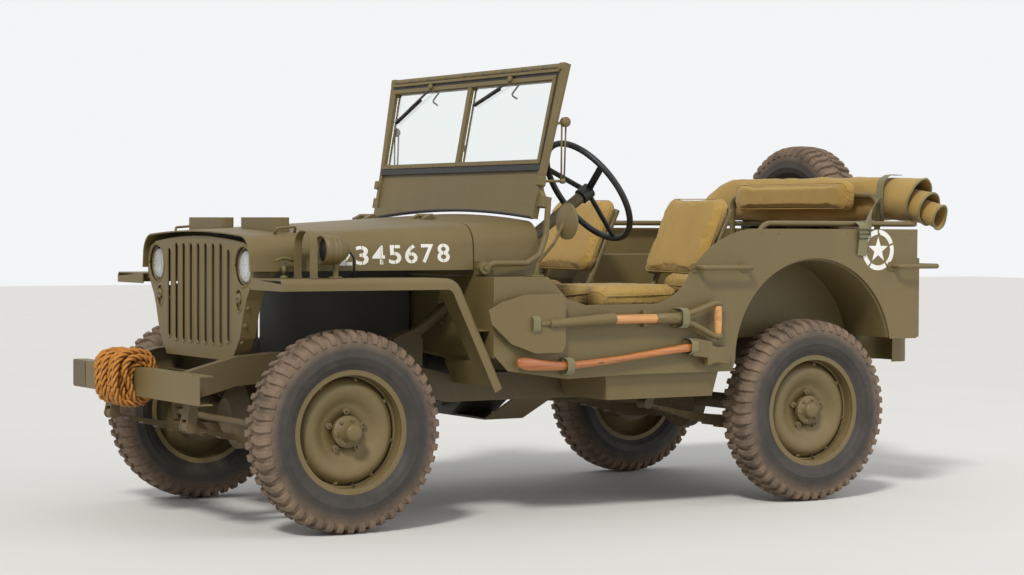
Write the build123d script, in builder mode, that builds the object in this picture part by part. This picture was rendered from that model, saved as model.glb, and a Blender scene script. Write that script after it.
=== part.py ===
# A light open field car with four driven wheels, in millimetres.
# The front faces -Y, +X is the car's left, +Z is up, and Z = 0 is the floor under the tyres.
# The origin lies on the floor below the middle of the car's box.
from build123d import *
from math import asin, atan2, cos, degrees, radians, sin, tan
import os

os.makedirs("parts", exist_ok=True)

# Wheels and axles
wheelbase = 2032.0
track = 1245.0
front_axle_y = -1074.5
tyre_radius = 355.0
tyre_width = 162.0
tread_width = 128.0
rim_radius = 224.0
rim_width = 124.0
rim_seat_radius = 203.0
rim_wall = 5.0
hub_bore_radius = 24.0
stud_circle_radius = 70.0
stud_count = 5
front_hub_reach = 91.0
rear_hub_reach = 60.0
kingpin_inset = 100.0
axle_tube_radius = 32.0
diff_offset_x = -190.0
diff_radius = 128.0

# Frame
frame_half_width = 371.5
rail_height = 104.0
rail_flange = 43.0
rail_wall = 5.0
rail_front_z = 516.0
transfer_z = 400.0
skid_at = 880.0
skid_length = 170.0
bumper_half_length = 581.0
bumper_height = 102.0
bumper_depth = 52.0
bumper_z = 457.0
bumper_face = -527.0

# Body
body_half_width = 730.0
body_top_z = 1064.0
body_rear = wheelbase + 500.0
frame_rear = body_rear - 5.5
body_sheet = 5.0
front_floor_z = 529.0
rear_floor_z = 640.0
rear_floor_start = wheelbase - 332.0
firewall_at = 545.0
dash_at = 795.0
ledge_z = 888.0
arch_radius = 385.0
arch_centre_z = 565.0
arch_centre_at = wheelbase - 32.0
wheelhouse_inner_x = 460.0
wheelhouse_top_z = 950.0
house_radius = 378.0

# Running clearance between touching pieces, and between pieces that move past each other
seat_gap = 0.3
moving_gap = 6.0

rear_axle_y = front_axle_y + wheelbase
axle_z = tyre_radius
wheel_x = track / 2
kingpin_x = wheel_x - kingpin_inset
rail_mid_z = front_floor_z - body_sheet - seat_gap - rail_height
rail_rear_z = rear_floor_z - body_sheet - seat_gap - rail_height
rail_x = frame_half_width - rail_flange / 2
skid_z = transfer_z - 70 - seat_gap


def behind(distance):
    # A station this far behind the front axle
    return front_axle_y + distance


def side_plane(x):
    # Sketches drawn in (Y, Z), looking along X
    return Plane.YZ.offset(x)


def front_plane(y):
    # Sketches drawn in (X, Z), extruded towards the front
    return Plane.XZ.offset(-y)


def wheel_plane(side, x, y):
    # Local x points outboard along the hub, local y points up
    return Plane(origin=(x, y, axle_z), x_dir=(side, 0, 0), z_dir=(0, -side, 0))


def stations(points):
    # (distance behind the front axle, height) pairs as sketch points
    return [(behind(at), z) for at, z in points]


def bent_route(points, bend):
    # Wire through (x, distance behind the front axle, height) points with rounded bends
    with BuildLine() as route:
        FilletPolyline(*[(x, behind(at), z) for x, at, z in points], radius=bend)
    return route.wires()[0]


def round_section(route, radius):
    with BuildSketch(Plane(origin=route @ 0, z_dir=route % 0)) as section:
        Circle(radius)
    return section.sketch


# Leaf springs under both axles, each pack concentric about its own centre of curvature

leaf_count = 7
leaf_thickness = 7.0
leaf_width = 44.0
leaf_step = 58.0
spring_pad = 10.0
spring_eye_radius = 17.0
spring_pin_radius = 9.0
spring_top_z = axle_z - axle_tube_radius - spring_pad
spring_ends = [
    # axle station, reach to the front eye, reach to the rear eye, radius of curvature
    (0.0, 466.0, 455.0, 1900.0),
    (wheelbase, 570.0, 452.0, 2300.0),
]


def spring_height(reach, curve_radius):
    # Height of the main leaf's middle line at this distance from the axle
    return spring_top_z - leaf_thickness / 2 + curve_radius - (curve_radius**2 - reach**2) ** 0.5


# Ladder frame: two channel rails that rise over both axles, tied by cross members

rail_bottom = [
    # behind front axle, height of the rail's lower edge
    (-475, 457),
    (-290, 505),
    (-150, rail_front_z),
    (180, rail_front_z),
    (560, rail_mid_z),
    (rear_floor_start + 12, rail_mid_z),
    (rear_floor_start + 130, rail_rear_z),
    (frame_rear, rail_rear_z),
]
rail_top = [(at, z + rail_height) for at, z in reversed(rail_bottom)]
rail_inner_x = frame_half_width - rail_flange
guard_foot_z = 588.0

cross_members = [
    # behind front axle, lower edge, height, length along the car
    (-205, rail_front_z + 8, guard_foot_z - seat_gap - rail_front_z - 8, 60),
    (rear_floor_start - 210, rail_mid_z + 12, 80, 70),
    (rear_floor_start + 160, rail_rear_z + 8, 70, 60),
    (frame_rear - 20, rail_rear_z + 4, 96, 40),
]

spring_eyes = [
    # station and height of each spring eye
    (axle + reach, spring_height(abs(reach), curve_radius))
    for axle, front_reach, rear_reach, curve_radius in spring_ends
    for reach in (-front_reach, rear_reach)
]
hanger_half = 20.0
hanger_wall = 6.0
hanger_lean = 15.0


def rail_low(at):
    # Height of the rail's lower edge at this station
    for (at_a, z_a), (at_b, z_b) in zip(rail_bottom, rail_bottom[1:]):
        if at_a <= at <= at_b:
            return z_a + (z_b - z_a) * (at - at_a) / (at_b - at_a)


with BuildPart() as frame:
    for side in (-1, 1):
        with BuildSketch(side_plane(side * frame_half_width)):
            with BuildLine():
                Polyline(*stations(rail_bottom + rail_top), close=True)
            make_face()
        extrude(amount=-side * rail_flange)
    for side in (-1, 1):
        with BuildSketch(side_plane(side * (frame_half_width - rail_wall))):
            with BuildLine():
                Polyline(*stations(rail_bottom + rail_top), close=True)
            make_face()
            offset(amount=-rail_wall, mode=Mode.REPLACE)
        extrude(amount=-side * rail_flange, mode=Mode.SUBTRACT)
    for at, low, height, length in cross_members:
        with BuildSketch(side_plane(-frame_half_width + rail_wall)):
            with Locations((behind(at), low + height / 2)):
                Rectangle(length, height)
            with Locations((behind(at) - rail_wall, low + height / 2)):
                Rectangle(length - rail_wall, height - 2 * rail_wall, mode=Mode.SUBTRACT)
        extrude(amount=2 * (frame_half_width - rail_wall))
    # Hangers that hold the spring eyes on pins
    for side in (-1, 1):
        for at, z in spring_eyes:
            lean = hanger_lean if at < wheelbase + 400 else -hanger_lean
            foot = [(at + lean - 0.8 * hanger_half, rail_low(at + lean - 0.8 * hanger_half) - 1),
                    (at + lean + 0.8 * hanger_half, rail_low(at + lean + 0.8 * hanger_half) - 1)]
            with BuildSketch(side_plane(side * rail_x - leaf_width / 2 - seat_gap - hanger_wall)):
                with BuildLine():
                    Polyline(*stations([(at - hanger_half, z), *foot, (at + hanger_half, z)]), close=True)
                make_face()
                with Locations((behind(at), z)):
                    Circle(hanger_half)
            extrude(amount=leaf_width + 2 * seat_gap + 2 * hanger_wall)
            with BuildSketch(side_plane(side * rail_x - leaf_width / 2 - seat_gap)):
                with BuildLine():
                    Polyline(*stations([(at - 70, z - 60), (at - 70, z + spring_eye_radius + 10),
                                        (at + 70, z + spring_eye_radius + 10), (at + 70, z - 60)]), close=True)
                make_face()
            extrude(amount=leaf_width + 2 * seat_gap, mode=Mode.SUBTRACT)
            with BuildSketch(side_plane(side * rail_x - leaf_width / 2 - seat_gap - hanger_wall)):
                with Locations((behind(at), z)):
                    Circle(spring_pin_radius)
            extrude(amount=leaf_width + 2 * seat_gap + 2 * hanger_wall)
            with BuildSketch(side_plane(side * rail_x - leaf_width / 2 - seat_gap - hanger_wall)):
                with BuildLine():
                    Polyline(*stations([foot[0], (foot[0][0], foot[0][1] + 1.5), (foot[1][0], foot[1][1] + 1.5),
                                        foot[1]]), close=True)
                make_face()
            extrude(amount=leaf_width + 2 * seat_gap + 2 * hanger_wall)
    # Skid plate that carries the transfer case
    with BuildSketch(front_plane(behind(skid_at))):
        with BuildLine():
            FilletPolyline((-rail_x, rail_mid_z + 3), (-rail_x + 20, rail_mid_z + 3), (-290, skid_z - 4),
                           (110, skid_z - 4), (rail_x - 20, rail_mid_z + 3), (rail_x, rail_mid_z + 3), radius=14)
        trace(line_width=8)
    extrude(amount=-skid_length)
frame.part.label = "frame"
export_step(frame.part, "parts/frame.step")


# Bumpers: a channel at the front and two curved bumperettes at the rear

bumper_y = behind(bumper_face)
bumper_back_y = bumper_y + bumper_depth
with BuildPart() as front_bumper:
    with BuildSketch(side_plane(-bumper_half_length)):
        with Locations((bumper_y + bumper_depth / 2, bumper_z + bumper_height / 2)):
            Rectangle(bumper_depth, bumper_height)
        with Locations((bumper_y + rail_wall + bumper_depth / 2, bumper_z + bumper_height / 2)):
            Rectangle(bumper_depth, bumper_height - 2 * rail_wall, mode=Mode.SUBTRACT)
    extrude(amount=2 * bumper_half_length)
front_bumper.part.label = "front_bumper"
export_step(front_bumper.part, "parts/front_bumper.step")

bumperette_x = 460.0
bumperette_width = 220.0
bumperette_height = 100.0
bumperette_reach = 100.0
with BuildPart() as rear_bumperettes:
    for side in (-1, 1):
        with BuildSketch(Plane.XY.offset(rail_rear_z - 4)):
            near, far = side * (bumperette_x - bumperette_width / 2), side * (bumperette_x + bumperette_width / 2)
            start = behind(frame_rear) + seat_gap
            with BuildLine():
                FilletPolyline((near, start), (near, start + bumperette_reach),
                               (far, start + bumperette_reach), (far, start), radius=60)
            trace(line_width=rail_wall)
        extrude(amount=bumperette_height)
rear_bumperettes.part.label = "rear_bumperettes"
export_step(rear_bumperettes.part, "parts/rear_bumperettes.step")


with BuildPart() as leaf_springs:
    for side in (-1, 1):
        for axle, front_reach, rear_reach, curve_radius in spring_ends:
            with BuildSketch(side_plane(side * rail_x - leaf_width / 2)):
                for leaf in range(leaf_count):
                    drop = leaf * leaf_thickness
                    front = front_reach - leaf * leaf_step
                    rear = rear_reach - leaf * leaf_step
                    with BuildLine():
                        ThreePointArc(
                            (behind(axle - front), spring_height(front, curve_radius) - drop),
                            (behind(axle), spring_height(0, curve_radius) - drop),
                            (behind(axle + rear), spring_height(rear, curve_radius) - drop),
                        )
                    trace(line_width=leaf_thickness + 0.5)
                for reach in (-front_reach, rear_reach):
                    eye = (behind(axle + reach), spring_height(abs(reach), curve_radius))
                    with Locations(eye):
                        Circle(spring_eye_radius)
                for reach in (-front_reach, rear_reach):
                    eye = (behind(axle + reach), spring_height(abs(reach), curve_radius))
                    with Locations(eye):
                        Circle(spring_pin_radius + seat_gap, mode=Mode.SUBTRACT)
            extrude(amount=leaf_width)
leaf_springs.part.label = "leaf_springs"
export_step(leaf_springs.part, "parts/leaf_springs.step")


# Axle housings with their differential offset to the right

pinion_reach = 190.0
pinion_radius = 42.0
cover_reach = 88.0
ball_radius = 60.0
knuckle_gap = 5.0
knuckle_wall = 12.0
kingpin_radius = 11.0
spindle_radius = 20.0
spindle_reach = 20.0
backing_plate_inset = 62.0
backing_plate_radius = 128.0
backing_plate = 5.0
pad_length = 84.0
front_tube_half = kingpin_x
rear_tube_half = wheel_x - backing_plate_inset


def differential_profile(axle_y, cover_side):
    # Half outline of a round casting, domed at its cover and drawn out to the pinion
    with BuildSketch(Plane.XY.offset(axle_z)) as profile:
        with BuildLine():
            Polyline(
                (diff_offset_x, axle_y + cover_side * cover_reach),
                (diff_offset_x + 0.5 * diff_radius, axle_y + cover_side * cover_reach * 0.9),
                (diff_offset_x + diff_radius, axle_y + cover_side * 30),
                (diff_offset_x + diff_radius, axle_y - cover_side * 25),
                (diff_offset_x + pinion_radius + 20, axle_y - cover_side * 105),
                (diff_offset_x + pinion_radius, axle_y - cover_side * pinion_reach),
                (diff_offset_x, axle_y - cover_side * pinion_reach),
                close=True,
            )
        make_face()
    return profile.sketch


def spindle_profile(side, axle_y):
    # Half outline of a brake backing plate with the spindle that carries the hub
    with BuildSketch(wheel_plane(side, side * wheel_x, axle_y)) as profile:
        with BuildLine():
            Polyline(
                (-backing_plate_inset - backing_plate, 0),
                (-backing_plate_inset - backing_plate, backing_plate_radius),
                (-backing_plate_inset, backing_plate_radius),
                (-backing_plate_inset, spindle_radius),
                (spindle_reach, spindle_radius),
                (spindle_reach, 0),
                close=True,
            )
        make_face()
    return profile.sketch


def hub_axis(side, axle_y):
    return Axis((side * wheel_x, axle_y, axle_z), (1, 0, 0))


with BuildPart() as front_axle:
    with BuildSketch(side_plane(-front_tube_half)):
        with Locations((front_axle_y, axle_z)):
            Circle(axle_tube_radius)
    extrude(amount=2 * front_tube_half)
    revolve(differential_profile(front_axle_y, -1),
            axis=Axis((diff_offset_x, front_axle_y, axle_z), (0, 1, 0)))
    with BuildSketch(Plane.XY.offset(spring_top_z + 3 * seat_gap)):
        with Locations((-rail_x, front_axle_y), (rail_x, front_axle_y)):
            Rectangle(leaf_width, pad_length)
    extrude(amount=spring_pad + axle_tube_radius)
    with Locations((-kingpin_x, front_axle_y, axle_z), (kingpin_x, front_axle_y, axle_z)):
        Sphere(ball_radius)
    with BuildSketch(Plane.XY.offset(axle_z - ball_radius)):
        with Locations((-kingpin_x, front_axle_y), (kingpin_x, front_axle_y)):
            Circle(kingpin_radius + seat_gap)
    extrude(amount=2 * ball_radius, mode=Mode.SUBTRACT)
front_axle.part.label = "front_axle"
export_step(front_axle.part, "parts/front_axle.step")

with BuildPart() as rear_axle:
    with BuildSketch(side_plane(-rear_tube_half)):
        with Locations((rear_axle_y, axle_z)):
            Circle(axle_tube_radius)
    extrude(amount=2 * rear_tube_half)
    revolve(differential_profile(rear_axle_y, 1),
            axis=Axis((diff_offset_x, rear_axle_y, axle_z), (0, 1, 0)))
    with BuildSketch(Plane.XY.offset(spring_top_z + 3 * seat_gap)):
        with Locations((-rail_x, rear_axle_y), (rail_x, rear_axle_y)):
            Rectangle(leaf_width, pad_length)
    extrude(amount=spring_pad + axle_tube_radius)
    for side in (-1, 1):
        revolve(spindle_profile(side, rear_axle_y), axis=hub_axis(side, rear_axle_y))
rear_axle.part.label = "rear_axle"
export_step(rear_axle.part, "parts/rear_axle.step")


# Steering knuckles turn on kingpins through the ball ends of the front axle

steering_arm_reach = 150.0
steering_arm_inset = 45.0
steering_arm_width = 36.0
steering_arm_thickness = 16.0
arm_top_z = axle_z - 14
shell_inner = ball_radius + knuckle_gap
shell_outer = shell_inner + knuckle_wall
shell_opening = 30.0
arm_eye_x = kingpin_x - steering_arm_inset
arm_eye_y = front_axle_y - steering_arm_reach


def around_ball(radius, reach):
    # A point of the knuckle's shell, this far outboard of the kingpin
    return (reach - kingpin_inset, (radius**2 - reach**2) ** 0.5)


def knuckle_profile(side):
    # Half outline of the cup round the ball, the backing plate and the spindle
    plate_in = kingpin_inset - backing_plate_inset - backing_plate
    plate_out = kingpin_inset - backing_plate_inset
    root = (shell_outer**2 - spindle_radius**2) ** 0.5
    with BuildSketch(wheel_plane(side, side * wheel_x, front_axle_y)) as profile:
        with BuildLine():
            ThreePointArc(around_ball(shell_inner, shell_inner), around_ball(shell_inner, 0.7 * shell_inner),
                          around_ball(shell_inner, -shell_opening))
            Line(around_ball(shell_inner, -shell_opening), around_ball(shell_outer, -shell_opening))
            ThreePointArc(around_ball(shell_outer, -shell_opening), around_ball(shell_outer, 0),
                          around_ball(shell_outer, plate_in))
            Polyline(around_ball(shell_outer, plate_in), (-backing_plate_inset - backing_plate, backing_plate_radius),
                     (-backing_plate_inset, backing_plate_radius), around_ball(shell_outer, plate_out))
            ThreePointArc(around_ball(shell_outer, plate_out), around_ball(shell_outer, (plate_out + root) / 2),
                          around_ball(shell_outer, root))
            Polyline(around_ball(shell_outer, root), (spindle_reach, spindle_radius), (spindle_reach, 0),
                     around_ball(shell_inner, shell_inner))
        make_face()
    return profile.sketch


for name, side in (("knuckle_left", 1), ("knuckle_right", -1)):
    with BuildPart() as knuckle:
        revolve(knuckle_profile(side), axis=hub_axis(side, front_axle_y))
        with BuildSketch(Plane.XY.offset(axle_z + shell_outer + 10)):
            with Locations((side * kingpin_x, front_axle_y)):
                Circle(2 * kingpin_radius)
        extrude(amount=-knuckle_wall - 10)
        with BuildSketch(Plane.XY.offset(axle_z - shell_outer - 10)):
            with Locations((side * kingpin_x, front_axle_y)):
                Circle(2 * kingpin_radius)
        extrude(amount=knuckle_wall + 10)
        with BuildSketch(Plane.XY.offset(axle_z - shell_outer)):
            with Locations((side * kingpin_x, front_axle_y)):
                Circle(kingpin_radius)
        extrude(amount=2 * shell_outer)
        with BuildSketch(Plane.XY.offset(arm_top_z)):
            with BuildLine():
                Polyline(
                    (side * (kingpin_x + 20), front_axle_y - shell_inner - 2),
                    (side * (arm_eye_x + steering_arm_width / 2), arm_eye_y),
                    (side * (arm_eye_x - steering_arm_width / 2), arm_eye_y),
                    (side * (kingpin_x - 18), front_axle_y - shell_inner - 2),
                    close=True,
                )
            make_face()
            with Locations((side * arm_eye_x, arm_eye_y)):
                Circle(steering_arm_width / 2)
        extrude(amount=-steering_arm_thickness)
    knuckle.part.label = name
    export_step(knuckle.part, f"parts/{name}.step")


# Track rod between the two steering arms, lying on them

tie_rod_radius = 12.0
with BuildPart() as tie_rod:
    with BuildSketch(side_plane(-arm_eye_x)):
        with Locations((arm_eye_y, arm_top_z + seat_gap + tie_rod_radius)):
            Circle(tie_rod_radius)
    extrude(amount=2 * arm_eye_x)
    with BuildSketch(Plane.XY.offset(arm_top_z + seat_gap)):
        with Locations((-arm_eye_x, arm_eye_y), (arm_eye_x, arm_eye_y)):
            Circle(1.5 * tie_rod_radius)
    extrude(amount=2 * tie_rod_radius + 4)
tie_rod.part.label = "tie_rod"
export_step(tie_rod.part, "parts/tie_rod.step")


# Wheels: a flat rim, a domed pressed disc and the hub with its brake drum

disc_wall = 5.0
drum_radius = 120.0
drum_wall = 5.0
hub_radius = 44.0
nut_radius = 12.0
nut_height = 16.0
bead_gap = 0.3
disc_stations = [
    # outboard distance, radius on the disc's outer face
    (-22, rim_seat_radius - rim_wall),
    (4, rim_seat_radius - rim_wall - 10),
    (30, 168),
    (34, 150),
    (28, 122),
    (12, 98),
    (10, hub_radius - 5),
]


def wheel_profile(plane, hub_reach=0.0):
    # Half outline of rim and disc, with the hub and its brake drum where the hub has a reach
    flange = rim_width / 2
    with BuildSketch(plane) as profile:
        with BuildLine():
            Polyline(
                (-flange, rim_radius), (-flange + rim_wall, rim_radius), (-flange + rim_wall, rim_seat_radius),
                (flange - rim_wall, rim_seat_radius), (flange - rim_wall, rim_radius), (flange, rim_radius),
                (flange, rim_seat_radius - rim_wall), (-flange, rim_seat_radius - rim_wall), close=True,
            )
        make_face()
        with BuildLine():
            Polyline(*disc_stations, *[(a - disc_wall, r + 1) for a, r in reversed(disc_stations)], close=True)
        make_face()
        if hub_reach:
            with BuildLine():
                Polyline(
                    (-backing_plate_inset + knuckle_gap, drum_radius),
                    (6, drum_radius - 12), (6, hub_bore_radius), (0, hub_bore_radius),
                    (0, drum_radius - 12 - drum_wall), (-backing_plate_inset + knuckle_gap, drum_radius - drum_wall),
                    close=True,
                )
            make_face()
            with BuildLine():
                Polyline(
                    (-18, spindle_radius + seat_gap), (-18, hub_radius), (22, hub_radius + 12),
                    (34, hub_radius + 12), (34, 32), (hub_reach - 6, 30), (hub_reach, 24), (hub_reach, 0),
                    (spindle_reach + seat_gap, 0), (spindle_reach + seat_gap, spindle_radius + seat_gap),
                    close=True,
                )
            make_face()
    return profile.sketch


def nut_places(side, x, axle_y):
    # Stud positions on the disc's mounting face
    turn = 360.0 / stud_count
    return [
        Plane(
            origin=(
                x + side * 8,
                axle_y + stud_circle_radius * sin(radians(turn * i)),
                axle_z + stud_circle_radius * cos(radians(turn * i)),
            ),
            x_dir=(0, 1, 0),
            z_dir=(side, 0, 0),
        )
        for i in range(stud_count)
    ]


wheel_table = [
    # name, side, axle station, hub reach
    ("front_left", 1, front_axle_y, front_hub_reach),
    ("front_right", -1, front_axle_y, front_hub_reach),
    ("rear_left", 1, rear_axle_y, rear_hub_reach),
    ("rear_right", -1, rear_axle_y, rear_hub_reach),
]

for name, side, axle_y, hub_reach in wheel_table:
    with BuildPart() as wheel:
        revolve(wheel_profile(wheel_plane(side, side * wheel_x, axle_y), hub_reach), axis=hub_axis(side, axle_y))
        for place in nut_places(side, side * wheel_x, axle_y):
            with BuildSketch(place):
                RegularPolygon(nut_radius, 6)
            extrude(amount=nut_height)
    wheel.part.label = f"wheel_{name}"
    export_step(wheel.part, f"parts/wheel_{name}.step")


# Tyres: a round shouldered carcass between the rim flanges, with two staggered rows of tread bars

bar_count = 26
bar_height = 13.0
bar_width = 42.0
bar_top = (tyre_radius**2 - (bar_width / 2) ** 2) ** 0.5
bar_lead = degrees(asin(bar_width / 2 / tyre_radius))
tyre_stations = [
    # outboard distance, radius, from the bead to the middle of the tread
    (rim_width / 2 - rim_wall - bead_gap, rim_seat_radius + bead_gap),
    (rim_width / 2 - rim_wall - bead_gap, rim_radius + 3),
    (72, 238),
    (tyre_width / 2, 275),
    (tyre_width / 2 - 5, 306),
    (tread_width / 2 + 2, tyre_radius - bar_height - 14),
    (tread_width / 2 - 12, tyre_radius - bar_height),
]
bar_stations = [
    # outboard distance, radius, round one tread bar from the middle of the tread over the shoulder
    (-4, tyre_radius - bar_height - 8),
    (-4, bar_top),
    (tread_width / 2 - 4, bar_top),
    (tread_width / 2 + 6, 338),
    (tyre_width / 2 - 1, 300),
    (tyre_width / 2 - 12, 300),
    (tread_width / 2 - 16, tyre_radius - bar_height - 8),
]


def tyre_profile(plane):
    with BuildSketch(plane) as profile:
        with BuildLine():
            Polyline(*tyre_stations, *[(-a, r) for a, r in reversed(tyre_stations)], close=True)
        make_face()
    return profile.sketch


def bar_profile(plane, row):
    # Side view of one bar of the outboard row, or of the inboard row when row is -1
    with BuildSketch(plane) as profile:
        with BuildLine():
            Polyline(*[(row * a, r) for a, r in bar_stations], close=True)
        make_face()
    return profile.sketch


def tread_bars(plane, axis):
    # Both rows round the axis, each led by half a bar so that an edge meets the floor
    bars = []
    for row in (-1, 1):
        bar = extrude(bar_profile(plane, row), amount=bar_width / 2, both=True, mode=Mode.PRIVATE)
        for i in range(bar_count):
            bars.append(bar.rotate(axis, 180 + bar_lead + (i + 0.25 * (row + 1)) * 360.0 / bar_count))
    return bars


for name, side, axle_y, hub_reach in wheel_table:
    with BuildPart() as tyre:
        place = wheel_plane(side, side * wheel_x, axle_y)
        revolve(tyre_profile(place), axis=hub_axis(side, axle_y))
        add(tread_bars(place, hub_axis(side, axle_y)))
    tyre.part.label = f"tyre_{name}"
    export_step(tyre.part, f"parts/tyre_{name}.step")


# Body tub: side and rear walls in one bent sheet, stepped floor, wheel houses and tank well

side_outline_start = [
    # behind front axle, height, from the cowl ledge down to the door sill
    (firewall_at, ledge_z),
    (770, ledge_z),
    (792, 870),
    (854, 808),
    (935, 784),
    (rear_floor_start - 460, 784),
]
door_corner = (rear_floor_start - 313, 874)
side_top_start = (rear_floor_start + 1, body_top_z)
side_outline_end = [
    # from the rear top corner round the bottom edge to the firewall
    (body_rear, body_top_z),
    (body_rear, rear_floor_z - 10),
    (rear_floor_start - 60, rear_floor_z - 10),
    (rear_floor_start - 100, front_floor_z - body_sheet),
    (1105, front_floor_z - body_sheet),
    (856, 516),
    (604, 552),
    (firewall_at, 610),
    (firewall_at, ledge_z),
]
floor_line = [
    (firewall_at, 680),
    (firewall_at + 20, 680),
    (860, front_floor_z),
    (rear_floor_start, front_floor_z),
    (rear_floor_start, rear_floor_z),
    (body_rear - body_sheet, rear_floor_z),
]
house_front = [
    # the front of the wheel houses, from the rear floor up to their top
    (rear_floor_start - 95, rear_floor_z - body_sheet),
    (rear_floor_start - 95, 700),
    (rear_floor_start - 45, 850),
    (rear_floor_start + 35, wheelhouse_top_z),
]
wall_corner_radius = 24.0
well_inner_x = 380.0
well_outer_x = body_half_width - 24
well_start = 1039.0
well_end = 1554.0
well_bottom_z = 430.0
well_wall = 5.0
well_taper = 10.0
tunnel_right_x = -175.0
tunnel_left_x = 125.0
tunnel_end = 1100.0
column_x = 360.0
column_angle = 35.0
steering_wheel_at = 1185.0
steering_wheel_z = 1205.0
steering_wheel_radius = 219.0


def column_height(at):
    # Height of the steering column's line at this station
    return steering_wheel_z - (steering_wheel_at - at) * tan(radians(column_angle))


with BuildPart() as body_tub:
    with BuildSketch(Plane.XY.offset(400)):
        wall_x = body_half_width - body_sheet / 2
        wall_y = behind(body_rear) - body_sheet / 2
        with BuildLine():
            FilletPolyline((-wall_x, behind(firewall_at)), (-wall_x, wall_y), (wall_x, wall_y),
                           (wall_x, behind(firewall_at)), radius=wall_corner_radius)
        trace(line_width=body_sheet)
    extrude(amount=800)
    with BuildSketch(side_plane(-body_half_width - 10)):
        with BuildLine():
            Polyline(*stations(side_outline_start))
            ThreePointArc(*stations([side_outline_start[-1], (rear_floor_start - 370, 815), door_corner]))
            ThreePointArc(*stations([door_corner, (rear_floor_start - 200, 995), side_top_start]))
            Polyline(*stations([side_top_start] + side_outline_end))
        make_face()
    extrude(amount=2 * body_half_width + 20, mode=Mode.INTERSECT)
    # Floor pan with the toe board and the step over the rear axle
    with BuildSketch(side_plane(-body_half_width + body_sheet / 2)):
        with BuildLine():
            Polyline(*stations(floor_line),
                     *stations([(at + (body_sheet if at == rear_floor_start else 0), z - body_sheet)
                                for at, z in reversed(floor_line)]), close=True)
        make_face()
    extrude(amount=2 * body_half_width - body_sheet)
    # Firewall below the cowl and the ledges at fender height
    with BuildSketch(side_plane(-body_half_width + body_sheet / 2)):
        with BuildLine():
            Polyline(*stations([(firewall_at, 600), (firewall_at + body_sheet, 600),
                                (firewall_at + body_sheet, ledge_z), (firewall_at, ledge_z)]), close=True)
        make_face()
    extrude(amount=2 * body_half_width - body_sheet)
    for side in (-1, 1):
        with BuildSketch(side_plane(side * body_half_width)):
            with BuildLine():
                Polyline(*stations([(firewall_at, ledge_z - body_sheet), (firewall_at, ledge_z),
                                    (770, ledge_z), (770, ledge_z - body_sheet)]), close=True)
            make_face()
        extrude(amount=-side * 160)
    # Tunnel over the gearbox
    with BuildSketch(side_plane(tunnel_right_x)):
        with BuildLine():
            Polyline(*stations([(firewall_at + 1, 602), (firewall_at + 1, 716), (720, 692),
                                (tunnel_end, front_floor_z - 2), (862, front_floor_z - 3)]), close=True)
        make_face()
    extrude(amount=tunnel_left_x - tunnel_right_x)
    with BuildSketch(side_plane(tunnel_right_x + body_sheet)):
        with BuildLine():
            Polyline(*stations([(firewall_at - 10, 500), (firewall_at - 10, 716 - body_sheet),
                                (718, 692 - body_sheet), (tunnel_end - 12, front_floor_z - 1.4 * body_sheet),
                                (tunnel_end - 12, 500)]), close=True)
        make_face()
    extrude(amount=tunnel_left_x - tunnel_right_x - 2 * body_sheet, mode=Mode.SUBTRACT)
    # Wheel houses
    for side in (-1, 1):
        with BuildSketch(side_plane(side * wheelhouse_inner_x)):
            with BuildLine():
                Polyline(*stations(house_front + [(body_rear - 2, wheelhouse_top_z),
                                                  (body_rear - 2, rear_floor_z - body_sheet)]), close=True)
            make_face()
        extrude(amount=side * (body_half_width - 2 - wheelhouse_inner_x))
    for side in (-1, 1):
        with BuildSketch(side_plane(side * (wheelhouse_inner_x + body_sheet))):
            with Locations((behind(arch_centre_at), arch_centre_z)):
                Circle(house_radius)
            with Locations((behind(arch_centre_at), arch_centre_z - 100)):
                Rectangle(2 * house_radius, 200)
        extrude(amount=side * 300, mode=Mode.SUBTRACT)
        with BuildSketch(side_plane(side * (body_half_width + 10))):
            with Locations((behind(arch_centre_at), arch_centre_z)):
                Circle(arch_radius)
        extrude(amount=-side * 24, mode=Mode.SUBTRACT)
        with BuildSketch(side_plane(side * (wheelhouse_inner_x + body_sheet))):
            with Locations((behind(body_rear - 72), 780)):
                Rectangle(120, 325)
        extrude(amount=side * (body_half_width - wheelhouse_inner_x - 2 * body_sheet - 60), mode=Mode.SUBTRACT)
    # Well for the fuel tank under the driver's seat
    with BuildSketch(Plane.XY.offset(front_floor_z)):
        with Locations(((well_inner_x + well_outer_x) / 2, behind((well_start + well_end) / 2))):
            Rectangle(well_outer_x - well_inner_x, well_end - well_start)
    extrude(amount=well_bottom_z - front_floor_z, taper=well_taper)
    with BuildSketch(Plane.XY.offset(front_floor_z + 1)):
        with Locations(((well_inner_x + well_outer_x) / 2, behind((well_start + well_end) / 2))):
            Rectangle(well_outer_x - well_inner_x - 2 * well_wall, well_end - well_start - 2 * well_wall)
    extrude(amount=well_bottom_z - front_floor_z + well_wall - 1, taper=well_taper, mode=Mode.SUBTRACT)
    # Hole for the steering column
    with BuildSketch(front_plane(behind(firewall_at - 40))):
        with Locations((column_x, column_height(firewall_at) + 12)):
            Ellipse(40, 60)
    extrude(amount=-120, mode=Mode.SUBTRACT)
body_tub.part.label = "body_tub"
export_step(body_tub.part, "parts/body_tub.step")

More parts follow.
